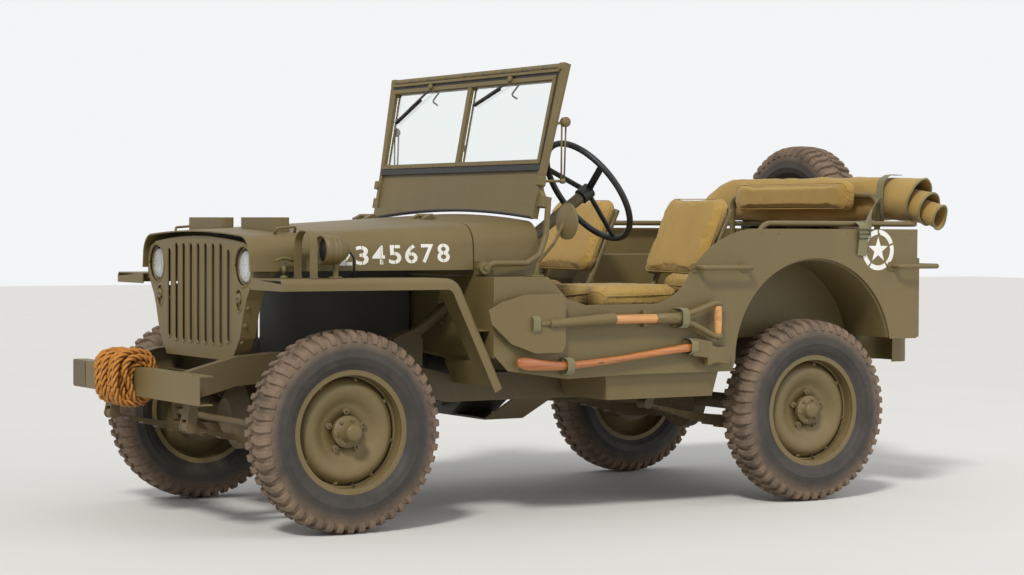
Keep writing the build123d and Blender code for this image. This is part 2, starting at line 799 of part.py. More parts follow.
# Fuel tank in its well, filling the space under the driver's seat
tank_clear = 8.0
tank_top_z = 700.0
with BuildPart() as fuel_tank:
    with BuildSketch(Plane.XY.offset(well_bottom_z + well_wall + seat_gap)):
        with Locations(((well_inner_x + well_outer_x) / 2, behind((well_start + well_end) / 2))):
            RectangleRounded(well_outer_x - well_inner_x - 2 * well_wall - 5 * tank_clear,
                             well_end - well_start - 2 * well_wall - 5 * tank_clear, 40)
    extrude(amount=tank_top_z - well_bottom_z - well_wall)
fuel_tank.part.label = "fuel_tank"
export_step(fuel_tank.part, "parts/fuel_tank.step")


# Cowl: a hollow crowned shell from the firewall to the dash, with the instrument panel

hood_front = -290.0
hood_length = firewall_at - hood_front
shoulder_round = 80.0
hood_gap = moving_gap


def crown_section(at, inset, foot_z):
    # Cross section of hood and cowl: upright sides, rounded shoulders and a crowned top.
    # Each size runs straight from the hood's front edge to the dash.
    share = (at - hood_front) / (dash_at - hood_front)
    foot_x = 480 + 152 * share - inset
    shoulder_x = 468 + 150 * share - inset
    shoulder_z = 1030 + 54 * share - inset
    crown_z = 1050 + 66 * share - inset
    with BuildSketch(front_plane(behind(at))) as section:
        with BuildLine():
            Polyline((-shoulder_x, shoulder_z), (-foot_x, foot_z), (foot_x, foot_z), (shoulder_x, shoulder_z))
            ThreePointArc((shoulder_x, shoulder_z), (0, crown_z), (-shoulder_x, shoulder_z))
        make_face()
        fillet(section.vertices().group_by(Axis.Y)[-1], radius=shoulder_round - inset)
    return section.sketch


dash_low_z = 955.0
pivot_at = 551.0
pivot_z = 920.0
pivot_face_x = 633.0
pivot_pin_radius = 8.0
hinge_at = 542.0
hinge_z = 1107.0
hinge_radius = 8.0
hinge_pin_radius = 4.0
hinge_x = 230.0
hinge_half = 30.0
hinge_ear = 26.0


def hinge_leaf(x, reach, foot_z):
    # Side profile of a hinge ear: the barrel and the leaf that runs down to the sheet
    with BuildSketch(side_plane(x)) as leaf:
        with Locations((behind(hinge_at), hinge_z)):
            Circle(hinge_radius)
        with BuildLine():
            Polyline(*stations([(hinge_at, hinge_z + hinge_radius), (hinge_at + reach, foot_z + 4),
                                (hinge_at + reach, foot_z - 5), (hinge_at + reach * 0.3, foot_z - 5),
                                (hinge_at, hinge_z - hinge_radius)]), close=True)
        make_face()
        with Locations((behind(hinge_at), hinge_z)):
            Circle(hinge_pin_radius + seat_gap, mode=Mode.SUBTRACT)
    return leaf.sketch


with BuildPart() as cowl:
    loft([crown_section(firewall_at, 0, ledge_z + seat_gap), crown_section(dash_at, 0, ledge_z + seat_gap)])
    loft([crown_section(firewall_at + body_sheet, body_sheet, ledge_z - 30),
          crown_section(dash_at - body_sheet, body_sheet, ledge_z - 30)], mode=Mode.SUBTRACT)
    # Leg room below the instrument panel
    with BuildSketch(front_plane(behind(dash_at - 2 * body_sheet))):
        with Locations((0, dash_low_z - 50)):
            Rectangle(2 * 605, 100)
    extrude(amount=-4 * body_sheet, mode=Mode.SUBTRACT)
    # Hole for the steering column
    with BuildSketch(front_plane(behind(firewall_at - 40))):
        with Locations((column_x, column_height(firewall_at) + 12)):
            Ellipse(40, 60)
    extrude(amount=-120, mode=Mode.SUBTRACT)
    with BuildSketch(front_plane(behind(dash_at - 30))):
        with Locations((column_x, column_height(dash_at))):
            Ellipse(34, 42)
    extrude(amount=-60, mode=Mode.SUBTRACT)
    # Hinge ears of the hood
    for side in (-1, 1):
        extrude(hinge_leaf(side * hinge_x - hinge_half, 34, 1098), amount=2 * hinge_half)
    # Pivots of the windshield arms
    for side in (-1, 1):
        with BuildSketch(side_plane(side * 592)):
            with Locations((behind(firewall_at) + seat_gap + 22, pivot_z)):
                Rectangle(44, 50)
        extrude(amount=side * (pivot_face_x - 592))
        with BuildSketch(side_plane(side * 600)):
            with Locations((behind(pivot_at), pivot_z)):
                Circle(pivot_pin_radius)
        extrude(amount=side * 68)
cowl.part.label = "cowl"
export_step(cowl.part, "parts/cowl.step")


# Hood: one pressed shell hinged along the cowl, open below, with two wooden rests

hood_rear = firewall_at - hood_gap
hood_foot_front = 908.0
hood_foot_rear = 912.0
hood_block_at = -117.0
hood_block_x = 233.0
hood_block_length = 320.0
hood_block_width = 46.0
hood_block_z = 1098.0
with BuildPart() as hood:
    loft([crown_section(hood_front, 0, hood_foot_front), crown_section(hood_rear, 0, hood_foot_rear)])
    loft([crown_section(hood_front - 1, body_sheet, hood_foot_front - 30),
          crown_section(hood_rear + 1, body_sheet, hood_foot_rear - 30)], mode=Mode.SUBTRACT)
    # Hinge ears with their pins
    for side in (-1, 1):
        for start in (-hinge_half - seat_gap - hinge_ear, hinge_half + seat_gap):
            extrude(hinge_leaf(side * hinge_x + start, -34, 1095), amount=hinge_ear)
        with BuildSketch(side_plane(side * hinge_x - hinge_half - hinge_ear)):
            with Locations((behind(hinge_at), hinge_z)):
                Circle(hinge_pin_radius)
        extrude(amount=2 * (hinge_half + hinge_ear))
        for start in (-hinge_half - seat_gap - hinge_ear, hinge_half + seat_gap):
            with BuildSketch(side_plane(side * hinge_x + start)):
                with Locations((behind(hinge_at), hinge_z)):
                    Circle(hinge_radius)
            extrude(amount=hinge_ear)
hood.part.label = "hood"
export_step(hood.part, "parts/hood.step")

with BuildPart() as hood_blocks:
    with BuildSketch(Plane.XY.offset(hood_block_z)):
        with Locations((-hood_block_x, behind(hood_block_at)), (hood_block_x, behind(hood_block_at))):
            RectangleRounded(hood_block_length, hood_block_width, 12)
    extrude(amount=-60)
    loft([crown_section(hood_front, -seat_gap, 900), crown_section(hood_rear, -seat_gap, 900)], mode=Mode.SUBTRACT)
hood_blocks.part.label = "hood_blocks"
export_step(hood_blocks.part, "parts/hood_blocks.step")


# Front fenders: a pressed strip with a turned-down outer lip, bent down to the sill behind the wheel

fender_top_z = 886.0
fender_lip = 40.0
fender_round = 16.0
fender_front = -289.0
fender_bend = 398.0
fender_foot_at = 588.0
fender_foot_z = 494.0
fender_inner_x = 480.0
fender_taper = 96.0
stay_z = 700.0
guard_face = -272.0
guard_half = 468.0


def fender_section(side):
    # Cross section of the strip at the front edge
    half = body_sheet / 2
    with BuildSketch(front_plane(behind(fender_front))) as section:
        with BuildLine():
            FilletPolyline((side * (frame_half_width + moving_gap), fender_top_z - half),
                           (side * (body_half_width - half), fender_top_z - half),
                           (side * (body_half_width - half), fender_top_z - fender_lip), radius=fender_round)
        trace(line_width=body_sheet)
    return section.sketch


with BuildPart() as front_fenders:
    for side in (-1, 1):
        with BuildLine() as fender_path:
            FilletPolyline((side * 500, behind(fender_front), fender_top_z),
                           (side * 500, behind(fender_bend), fender_top_z),
                           (side * 500, behind(fender_foot_at), fender_foot_z), radius=70)
        sweep(fender_section(side), path=fender_path.wires()[0])
        # Front lip
        with BuildSketch(front_plane(behind(fender_front))):
            x0, x1 = side * (fender_inner_x), side * (body_half_width - 1)
            with BuildLine():
                Polyline((x0, fender_top_z - 1), (x1, fender_top_z - fender_round), (x1, fender_top_z - fender_lip),
                         (x0, fender_top_z - fender_lip), close=True)
            make_face()
        extrude(amount=-body_sheet)
    # The inner edge follows the hood line, and the tail stays clear of the rails
    with BuildSketch(Plane.XY.offset(fender_foot_z - 100)):
        with BuildLine():
            Polyline((-fender_inner_x, behind(fender_front) - 10), (-fender_inner_x - fender_taper, behind(firewall_at)),
                     (fender_inner_x + fender_taper, behind(firewall_at)), (fender_inner_x, behind(fender_front) - 10),
                     close=True)
        make_face()
    extrude(amount=600, mode=Mode.SUBTRACT)
    # Tabs on the radiator guard's flange and stays on the firewall
    for side in (-1, 1):
        with BuildSketch(Plane.XY.offset(fender_top_z - body_sheet + 1)):
            with Locations((side * (guard_half + seat_gap + 20), behind(guard_face + 30))):
                Rectangle(40, 40)
        extrude(amount=-16)
        with BuildSketch(Plane.XY.offset(stay_z)):
            with BuildLine():
                Polyline((side * 600, behind(fender_bend + 92)), (side * 600, behind(firewall_at) - seat_gap),
                         (side * 700, behind(firewall_at) - seat_gap), (side * 700, behind(fender_bend + 92)),
                         close=True)
            make_face()
        extrude(amount=-body_sheet)
front_fenders.part.label = "front_fenders"
export_step(front_fenders.part, "parts/front_fenders.step")


# Radiator guard: a pressed plate with nine slots and openings for the lamps

guard_sheet = 6.0
guard_flange = 60.0
slot_pitch = 65.5
slot_width = 34.0
slot_count = 9
slot_bottom_z = 640.0
slot_top_z = 1006.0
end_slot_drop = 20.0
headlamp_x = 384.0
headlamp_z = 925.0
headlamp_hole_radius = 72.0
marker_x = 350.0
marker_z = 804.0
marker_hole_width = 52.0
marker_hole_height = 82.0
guard_outline = [
    # half width, height, from the top shoulder down to the foot
    (392, 1008),
    (446, 986),
    (guard_half, 945),
    (guard_half, 885),
    (408, 806),
    (388, 760),
    (356, 670),
    (289, guard_foot_z),
]


def guard_sketch(inset):
    with BuildSketch(front_plane(behind(guard_face))) as face:
        with BuildLine():
            right = [(x - inset, z + (inset if z < 700 else -inset)) for x, z in guard_outline]
            Polyline(*right, *[(-x, z) for x, z in reversed(right)])
            ThreePointArc(right[0], (0, right[0][1] + 22), (-right[0][0], right[0][1]))
        make_face()
    return face.sketch


with BuildPart() as radiator_guard:
    extrude(guard_sketch(0), amount=-guard_flange)
    with BuildSketch(front_plane(behind(guard_face + guard_sheet))):
        add(guard_sketch(guard_sheet).moved(Location((0, guard_sheet, 0))))
    extrude(amount=-guard_flange, mode=Mode.SUBTRACT)
    with BuildSketch(front_plane(behind(guard_face) - 1)):
        for i in range(slot_count):
            ends = end_slot_drop if i in (0, slot_count - 1) else 0
            top = slot_top_z - ends
            with Locations(((i - (slot_count - 1) / 2) * slot_pitch, (top + slot_bottom_z + ends / 2) / 2)):
                SlotOverall(top - slot_bottom_z - ends / 2, slot_width, rotation=90)
        for side in (-1, 1):
            with Locations((side * headlamp_x, headlamp_z)):
                Circle(headlamp_hole_radius)
            with Locations((side * marker_x, marker_z)):
                SlotOverall(marker_hole_height, marker_hole_width, rotation=90)
    extrude(amount=-guard_sheet - 2, mode=Mode.SUBTRACT)
radiator_guard.part.label = "radiator_guard"
export_step(radiator_guard.part, "parts/radiator_guard.step")


# Radiator between the guard and the engine

radiator_half_width = 235.0
radiator_depth = 68.0
radiator_at = guard_face + guard_flange + seat_gap
radiator_top_z = 1000.0
radiator_tank = 32.0
radiator_cap_radius = 30.0
radiator_foot_z = guard_foot_z
with BuildPart() as radiator:
    with BuildSketch(Plane.XY.offset(radiator_foot_z)):
        with Locations((0, behind(radiator_at) + radiator_depth / 2)):
            Rectangle(2 * radiator_half_width, radiator_depth)
    extrude(amount=radiator_top_z - radiator_foot_z)
    with BuildSketch(Plane.XY.offset(radiator_top_z)):
        with Locations((0, behind(radiator_at) + radiator_depth / 2)):
            RectangleRounded(2 * radiator_half_width - 20, radiator_depth - 4, 25)
    extrude(amount=radiator_tank)
    with BuildSketch(Plane.XY.offset(radiator_top_z + radiator_tank)):
        with Locations((0, behind(radiator_at) + radiator_depth / 2)):
            Circle(radiator_cap_radius)
    extrude(amount=12)
radiator.part.label = "radiator"
export_step(radiator.part, "parts/radiator.step")


# Lamps: two headlamps and two markers behind the guard, a hooded lamp on the left fender, two tail lamps

headlamp_radius = 71.0
headlamp_front = -248.0
headlamp_depth = 112.0
marker_radius = 17.0
fender_lamp_x = 600.0
fender_lamp_at = -60.0
fender_lamp_radius = 48.0
fender_lamp_z = 985.0
tail_lamp_x = 610.0
tail_lamp_z = 690.0
tail_lamp_radius = 42.0


def lamp_profile(x, front_at, z, radius, depth, toward=1):
    # Half outline of a round lamp: flat lens, deep bowl and a short neck
    y = behind(front_at)
    with BuildSketch(Plane.XY.offset(z)) as profile:
        with BuildLine():
            Polyline((x, y), (x + radius, y), (x + radius, y + toward * 0.2 * depth),
                     (x + 0.82 * radius, y + toward * 0.62 * depth), (x + 0.45 * radius, y + toward * 0.88 * depth),
                     (x + 0.25 * radius, y + toward * depth), (x, y + toward * depth), close=True)
        make_face()
    return profile.sketch


lamp_table = [
    # x, station of the lens, height, radius, depth, which way the bowl runs from the lens
    (headlamp_x, headlamp_front, headlamp_z, headlamp_radius, headlamp_depth, 1),
    (-headlamp_x, headlamp_front, headlamp_z, headlamp_radius, headlamp_depth, 1),
    (marker_x, guard_face + guard_sheet + seat_gap, marker_z + 8, marker_radius, 46, 1),
    (-marker_x, guard_face + guard_sheet + seat_gap, marker_z + 8, marker_radius, 46, 1),
    (fender_lamp_x, fender_lamp_at, fender_lamp_z, fender_lamp_radius, 90, 1),
    (tail_lamp_x, body_rear + seat_gap + 45, tail_lamp_z, tail_lamp_radius, 45, -1),
    (-tail_lamp_x, body_rear + seat_gap + 45, tail_lamp_z, tail_lamp_radius, 45, -1),
]
with BuildPart() as lamps:
    for x, at, z, radius, depth, toward in lamp_table:
        revolve(lamp_profile(x, at, z, radius, depth, toward), axis=Axis((x, behind(at), z), (0, 1, 0)))
    # Brackets from the headlamps to the guard's side flanges
    for side in (-1, 1):
        with BuildSketch(side_plane(side * (guard_half - guard_sheet - seat_gap))):
            with Locations((behind(guard_face + guard_flange - 15), headlamp_z)):
                Rectangle(20, 24)
        extrude(amount=-side * 30)
        with BuildSketch(front_plane(behind(guard_face + guard_sheet) + seat_gap)):
            with Locations((side * marker_x, marker_z)):
                RectangleRounded(marker_hole_width + 8, marker_hole_height + 10, 20)
        extrude(amount=-4)
    with BuildSketch(Plane.XY.offset(fender_top_z + seat_gap)):
        with Locations((fender_lamp_x, behind(fender_lamp_at + 40))):
            Circle(10)
    extrude(amount=fender_lamp_z - fender_top_z - 0.7 * fender_lamp_radius)
    with BuildSketch(Plane.XY.offset(fender_top_z + seat_gap)):
        with Locations((fender_lamp_x, behind(fender_lamp_at + 40))):
            Circle(24)
    extrude(amount=6)
lamps.part.label = "lamps"
export_step(lamps.part, "parts/lamps.step")

# Bent strap that guards the fender lamp
guard_strap_at = fender_lamp_at - 62
with BuildPart() as lamp_guard:
    with BuildSketch(front_plane(behind(guard_strap_at))):
        with BuildLine():
            FilletPolyline((fender_lamp_x - 62, fender_top_z + seat_gap), (fender_lamp_x - 58, fender_lamp_z + 66),
                           (fender_lamp_x + 58, fender_lamp_z + 66), (fender_lamp_x + 62, fender_top_z + seat_gap),
                           radius=50)
        trace(line_width=5)
    extrude(amount=28)
    with BuildSketch(Plane.XY.offset(fender_top_z + seat_gap)):
        with Locations((fender_lamp_x - 62, behind(guard_strap_at) - 14), (fender_lamp_x + 62, behind(guard_strap_at) - 14)):
            Rectangle(24, 28)
    extrude(amount=5)
lamp_guard.part.label = "lamp_guard"
export_step(lamp_guard.part, "parts/lamp_guard.step")


# Engine as one block on its frame mounts, gearbox and transfer case, propeller shafts and exhaust

engine_half_width = 150.0
engine_front = 45.0
engine_rear = 520.0
engine_top_z = 930.0
crank_z = 520.0
bell_radius = 128.0
gearbox_radius = 88.0
transfer_front = 860.0
transfer_length = 205.0
shaft_radius = 24.0
with BuildPart() as engine:
    with BuildSketch(side_plane(-engine_half_width)):
        with BuildLine():
            Polyline(*stations([(engine_front, engine_top_z), (engine_front, 560), (engine_front + 30, 500),
                                (300, 490), (340, 440), (engine_rear, 440), (engine_rear, engine_top_z)]), close=True)
        make_face()
    extrude(amount=2 * engine_half_width)
    with BuildSketch(Plane.XY.offset(rail_front_z + rail_height + seat_gap)):
        with Locations((0, behind(120))):
            Rectangle(2 * frame_half_width - 20, 44)
    extrude(amount=16)
engine.part.label = "engine"
export_step(engine.part, "parts/engine.step")

with BuildPart() as gearbox:
    with BuildSketch(Plane.XY.offset(crank_z)):
        with BuildLine():
            Polyline((-20, behind(engine_rear) + seat_gap), (-20 + bell_radius, behind(engine_rear) + seat_gap),
                     (-20 + bell_radius, behind(600)), (-20 + gearbox_radius, behind(650)),
                     (-20 + gearbox_radius, behind(transfer_front + 20)), (-20, behind(transfer_front + 20)), close=True)
        make_face()
    revolve(axis=Axis((-20, behind(engine_rear), crank_z), (0, 1, 0)))
    with BuildSketch(front_plane(behind(transfer_front))):
        with BuildLine():
            Polyline((-260, transfer_z - 70), (-120, transfer_z - 70), (60, 440), (60, 516),
                     (-180, 516), (-260, 470), close=True)
        make_face()
    extrude(amount=-transfer_length)
gearbox.part.label = "gearbox"
export_step(gearbox.part, "parts/gearbox.step")

shaft_ends = [
    # from station and height to station and height
    (pinion_reach, axle_z, transfer_front, transfer_z),
    (transfer_front + transfer_length, transfer_z, wheelbase - pinion_reach, axle_z),
]
flange_thickness = 14.0
with BuildPart() as prop_shafts:
    for from_at, from_z, to_at, to_z in shaft_ends:
        start, stop = from_at + seat_gap, to_at - seat_gap
        run = Vector(0, stop - start - flange_thickness, to_z - from_z)
        with BuildSketch(Plane(origin=(diff_offset_x, behind(start + flange_thickness / 2), from_z), z_dir=run)):
            Circle(shaft_radius)
        extrude(amount=run.length)
        for at, z, way in ((start, from_z, 1), (stop, to_z, -1)):
            with BuildSketch(front_plane(behind(at))):
                with Locations((diff_offset_x, z)):
                    Circle(pinion_radius)
            extrude(amount=-way * flange_thickness)
prop_shafts.part.label = "prop_shafts"
export_step(prop_shafts.part, "parts/prop_shafts.step")

pipe_radius = 21.0
muffler_radius = 52.0
muffler_x = -540.0
muffler_z = front_floor_z - body_sheet - seat_gap - muffler_radius
with BuildPart() as exhaust:
    with BuildLine() as pipe_route:
        FilletPolyline((-engine_half_width - seat_gap, behind(430), 560), (-255, behind(430), 560),
                       (-265, behind(500), 385), (-300, behind(580), 385), (-430, behind(650), 385),
                       (muffler_x, behind(740), 400), (muffler_x, behind(850), muffler_z),
                       (muffler_x, behind(960), muffler_z), radius=45)
    with BuildSketch(Plane(origin=pipe_route.wires()[0] @ 0, z_dir=pipe_route.wires()[0] % 0)):
        Circle(pipe_radius)
    sweep(path=pipe_route.wires()[0])
    with BuildSketch(front_plane(behind(950))):
        with Locations((muffler_x, muffler_z)):
            Circle(muffler_radius)
    extrude(amount=-480)
    with BuildLine() as tail_route:
        FilletPolyline((muffler_x, behind(1425), muffler_z), (muffler_x, behind(1510), muffler_z),
                       (muffler_x - 150, behind(1575), muffler_z - 10), radius=50)
    with BuildSketch(Plane(origin=tail_route.wires()[0] @ 0, z_dir=tail_route.wires()[0] % 0)):
        Circle(pipe_radius)
    sweep(path=tail_route.wires()[0])
exhaust.part.label = "exhaust"
export_step(exhaust.part, "parts/exhaust.step")


# Seats: bent tube frames on the floor, each carrying a cushion and a back pad

seat_tube_radius = 12.5
seat_rail_z = 742.0
cushion_thickness = 92.0
back_thickness = 62.0
back_lean = 24.5
back_length = 350.0
seat_front = 1030.0
seat_rear = 1500.0
seat_leg_at = 1572.0
seat_leg_top = 860.0
driver_x = 420.0
passenger_x = -385.0
seat_tube_inset = 45.0
front_seat_half = 205.0
rear_seat_half = 400.0
rear_cushion_front = body_rear - 502.0
rear_cushion_length = 400.0
rear_cushion_top_z = 870.0
rear_back_at = body_rear - 20.0
rear_back_z = 1200.0
rear_back_height = 142.0
rear_back_thickness = 66.0
cushion_round = 30.0

front_seats = [
    # centre, half width
    (driver_x, front_seat_half),
    (passenger_x, front_seat_half + 25),
]


def on_back(up, out=0.0):
    # A point of the seat back, this far up along its lean and out to its front
    lean = radians(back_lean)
    return (seat_rear + 18 + up * sin(lean) - out * cos(lean), seat_rail_z + up * cos(lean) + out * sin(lean))


with BuildPart() as seat_frames:
    for centre, half in front_seats:
        for x in (centre - half + seat_tube_inset, centre + half - seat_tube_inset):
            side_tube = bent_route([(x, seat_front - 10, front_floor_z + seat_gap), (x, seat_front - 10, seat_rail_z),
                                    (x, seat_rear + 18, seat_rail_z), (x, *on_back(back_length + 85))], 45)
            sweep(round_section(side_tube, seat_tube_radius), path=side_tube)
            with BuildSketch(Plane.XY.offset(front_floor_z + seat_gap)):
                with Locations((x, behind(seat_leg_at))):
                    Circle(seat_tube_radius)
            extrude(amount=seat_leg_top - front_floor_z)
        with BuildSketch(side_plane(centre - half + seat_tube_inset)):
            for at, z in ((seat_front + 90, seat_rail_z), (seat_rear - 40, seat_rail_z), on_back(back_length + 60)):
                with Locations((behind(at), z)):
                    Circle(seat_tube_radius - 2)
        extrude(amount=2 * half - 2 * seat_tube_inset)
    # Rear seat: a hoop on the wheel houses and two cross tubes under the cushion
    hoop_x = wheelhouse_inner_x + 30
    hoop = bent_route([(-hoop_x, rear_back_at, wheelhouse_top_z + seat_gap), (-hoop_x, rear_back_at, rear_back_z),
                       (hoop_x, rear_back_at, rear_back_z), (hoop_x, rear_back_at, wheelhouse_top_z + seat_gap)], 45)
    sweep(round_section(hoop, seat_tube_radius), path=hoop)
    with BuildSketch(side_plane(-wheelhouse_inner_x + seat_gap)):
        for at in (rear_cushion_front + 60, rear_cushion_front + rear_cushion_length - 60):
            with Locations((behind(at), rear_cushion_top_z - cushion_thickness - seat_tube_radius - seat_gap)):
                Circle(seat_tube_radius)
    extrude(amount=2 * (wheelhouse_inner_x - seat_gap))
seat_frames.part.label = "seat_frames"
export_step(seat_frames.part, "parts/seat_frames.step")

with BuildPart() as seat_cushions:
    for centre, half in front_seats:
        with BuildSketch(Plane.XY.offset(seat_rail_z + seat_tube_radius + seat_gap)):
            with Locations((centre, behind((seat_front + seat_rear) / 2 - 15))):
                RectangleRounded(2 * half, seat_rear - seat_front - 40, 50)
        extrude(amount=cushion_thickness)
    with BuildSketch(Plane.XY.offset(rear_cushion_top_z - cushion_thickness)):
        with Locations((0, behind(rear_cushion_front + rear_cushion_length / 2))):
            RectangleRounded(2 * rear_seat_half, rear_cushion_length, 50)
    extrude(amount=cushion_thickness)
    chamfer(seat_cushions.edges().filter_by(Plane.XY).group_by(Axis.Z)[-1], 12)
seat_cushions.part.label = "seat_cushions"
export_step(seat_cushions.part, "parts/seat_cushions.step")

with BuildPart() as seat_backs:
    for centre, half in front_seats:
        foot_at, foot_z = on_back(122, seat_tube_radius + seat_gap)
        with BuildSketch(Plane(origin=(centre, behind(foot_at), foot_z), x_dir=(1, 0, 0),
                               z_dir=(0, -cos(radians(back_lean)), sin(radians(back_lean))))):
            with Locations((0, back_length / 2)):
                RectangleRounded(2 * half, back_length, 55)
        extrude(amount=back_thickness)
    with BuildSketch(front_plane(behind(rear_back_at) - seat_tube_radius - seat_gap)):
        with Locations((0, rear_back_z)):
            RectangleRounded(2 * rear_seat_half, rear_back_height, 50)
    extrude(amount=rear_back_thickness)
seat_backs.part.label = "seat_backs"
export_step(seat_backs.part, "parts/seat_backs.step")


# Folded top: tube bows pivoted on the body sides, and the rolled canvas lashed on them

bow_radius = 11.0
bow_x = body_half_width - 40
bow_z = 1085.0
bow_rear = body_rear + 36.0
bow_pivot_at = rear_floor_start + 50.0
with BuildPart() as top_bows:
    bow_foot_z = wheelhouse_top_z + seat_gap
    bow = bent_route([(-bow_x, bow_pivot_at, bow_foot_z), (-bow_x, bow_pivot_at, bow_z), (-bow_x, bow_rear, bow_z),
                      (bow_x, bow_rear, bow_z), (bow_x, bow_pivot_at, bow_z), (bow_x, bow_pivot_at, bow_foot_z)], 60)
    sweep(round_section(bow, bow_radius), path=bow)
top_bows.part.label = "top_bows"
export_step(top_bows.part, "parts/top_bows.step")

roll_half = body_half_width + 12
roll_sections = [
    # x, station and height of the middle, half depth, half height
    (-roll_half, bow_rear + 18, 1165, 78, 62),
    (-640, bow_rear + 10, 1178, 64, 84),
    (-560, bow_rear + 4, 1188, 42, 92),
    (80, bow_rear + 3, 1190, 41, 95),
    (220, bow_rear + 28, 1188, 66, 92),
    (600, bow_rear + 36, 1184, 75, 86),
    (roll_half, bow_rear + 26, 1152, 84, 66),
]
with BuildPart() as canvas_roll:
    roll_faces = []
    for x, at, z, half_depth, half_height in roll_sections:
        with BuildSketch(side_plane(x)) as roll_face:
            with Locations((behind(at), max(z, bow_z + bow_radius + seat_gap + half_height))):
                Ellipse(half_depth, half_height)
        roll_faces.append(roll_face.sketch)
    loft(roll_faces, ruled=True)
canvas_roll.part.label = "canvas_roll"
export_step(canvas_roll.part, "parts/canvas_roll.step")


# Spare wheel on its carrier behind the body

spare_x = -240.0
spare_at = body_rear + 168.0
spare_z = 1069.0
carrier_half = 70.0


def spare_plane():
    # Local x points to the rear along the spare's axis, local y points up
    return Plane(origin=(spare_x, behind(spare_at), spare_z), x_dir=(0, 1, 0), z_dir=(1, 0, 0))


spare_axis = Axis((spare_x, behind(spare_at), spare_z), (0, 1, 0))
with BuildPart() as spare_tyre:
    revolve(tyre_profile(spare_plane()), axis=spare_axis)
    add(tread_bars(spare_plane(), spare_axis))
spare_tyre.part.label = "spare_tyre"
export_step(spare_tyre.part, "parts/spare_tyre.step")

spare_disc_end = disc_stations[-1][1]
with BuildPart() as spare_wheel:
    revolve(wheel_profile(spare_plane()), axis=spare_axis)
spare_wheel.part.label = "spare_wheel"
export_step(spare_wheel.part, "parts/spare_wheel.step")

carrier_reach = spare_at + disc_stations[-1][0] - disc_wall - body_rear
with BuildPart() as spare_carrier:
    with BuildSketch(front_plane(behind(body_rear) + seat_gap)):
        with Locations((spare_x, spare_z - 110)):
            RectangleRounded(2 * carrier_half + 60, 200, 20)
    extrude(amount=-8)
    with BuildSketch(front_plane(behind(body_rear) + seat_gap + 8)):
        with Locations((spare_x, spare_z - 60)):
            Rectangle(2 * carrier_half, 60)
    extrude(amount=-(carrier_reach - 8 - 2 * seat_gap - 20), taper=4)
    with BuildSketch(front_plane(behind(body_rear) + carrier_reach - seat_gap - 22)):
        with Locations((spare_x, spare_z)):
            Circle(hub_radius + 48)
    extrude(amount=-22)
    with BuildSketch(front_plane(behind(body_rear) + carrier_reach - seat_gap)):
        with Locations((spare_x, spare_z)):
            Circle(spare_disc_end - 3)
    extrude(amount=-40)
spare_carrier.part.label = "spare_carrier"
export_step(spare_carrier.part, "parts/spare_carrier.step")


# Steering column from its box on the rail, and the wheel on top of it

column_radius = 22.0
column_shaft = 14.0
column_box_at = 380.0
steering_rim_radius = 12.0
steering_hub_radius = 30.0
steering_hub_depth = 40.0
spoke_angles = [90, 210, 330]
column_direction = (0, cos(radians(column_angle)), sin(radians(column_angle)))
wheel_centre = (column_x, behind(steering_wheel_at), steering_wheel_z)


def column_plane(back):
    # Plane square to the steering column, this far back down from the steering wheel
    return Plane(origin=tuple(c - back * d for c, d in zip(wheel_centre, column_direction)), x_dir=(1, 0, 0),
                 z_dir=column_direction)


column_length = (steering_wheel_at - column_box_at) / cos(radians(column_angle))
column_top = steering_hub_depth + moving_gap
with BuildPart() as steering_column:
    with BuildSketch(column_plane(column_length)):
        Circle(column_radius)
    extrude(amount=column_length - column_top)
    with BuildSketch(side_plane(rail_x - 20)):
        with BuildLine():
            Polyline(*stations([(320, rail_low(320) + rail_height + 2 * seat_gap), (320, 660), (400, 690), (440, 660),
                                (440, rail_low(440) + rail_height + 2 * seat_gap)]), close=True)
        make_face()
    extrude(amount=70)
    with BuildSketch(column_plane(column_top)):
        Circle(column_shaft + seat_gap)
    extrude(amount=-70, mode=Mode.SUBTRACT)
steering_column.part.label = "steering_column"
export_step(steering_column.part, "parts/steering_column.step")

with BuildPart() as steering_wheel:
    with BuildSketch(Plane(origin=wheel_centre, x_dir=(1, 0, 0), z_dir=(0, -sin(radians(column_angle)),
                                                                     cos(radians(column_angle))))):
        with Locations((steering_wheel_radius, 0)):
            Circle(steering_rim_radius)
    revolve(axis=Axis(wheel_centre, column_direction))
    with BuildSketch(column_plane(steering_hub_depth)):
        Circle(steering_hub_radius)
    extrude(amount=steering_hub_depth + 8)
    with BuildSketch(column_plane(column_top + 50)):
        Circle(column_shaft)
    extrude(amount=column_top + 20)
    with BuildSketch(column_plane(6)):
        for angle in spoke_angles:
            with Locations((0.5 * steering_wheel_radius * cos(radians(angle)),
                            0.5 * steering_wheel_radius * sin(radians(angle)))):
                Rectangle(steering_wheel_radius, 26, rotation=angle)
    extrude(amount=7)
steering_wheel.part.label = "steering_wheel"
export_step(steering_wheel.part, "parts/steering_wheel.step")


# Pedals on the toe board and the hand levers on the tunnel

toe_board = (0, 0.4557, 0.8901)
pedal_table = [
    # x, station on the toe board, stem length, pad width, pad length
    (442, 660, 120, 62, 70),
    (280, 660, 120, 62, 70),
    (190, 690, 60, 50, 90),
]
lever_table = [
    # x, foot station, top station, top height, rod radius, knob radius
    (-20, 780, 905, 905, 9, 20),
    (-90, 980, 1070, 770, 8, 15),
    (-130, 990, 1080, 740, 8, 15),
]


def toe_height(at):
    return 680 - (at - firewall_at - 20) * 151 / 295


def tunnel_height(at):
    return 692 - (at - 720) * (694 - front_floor_z) / (tunnel_end - 720)


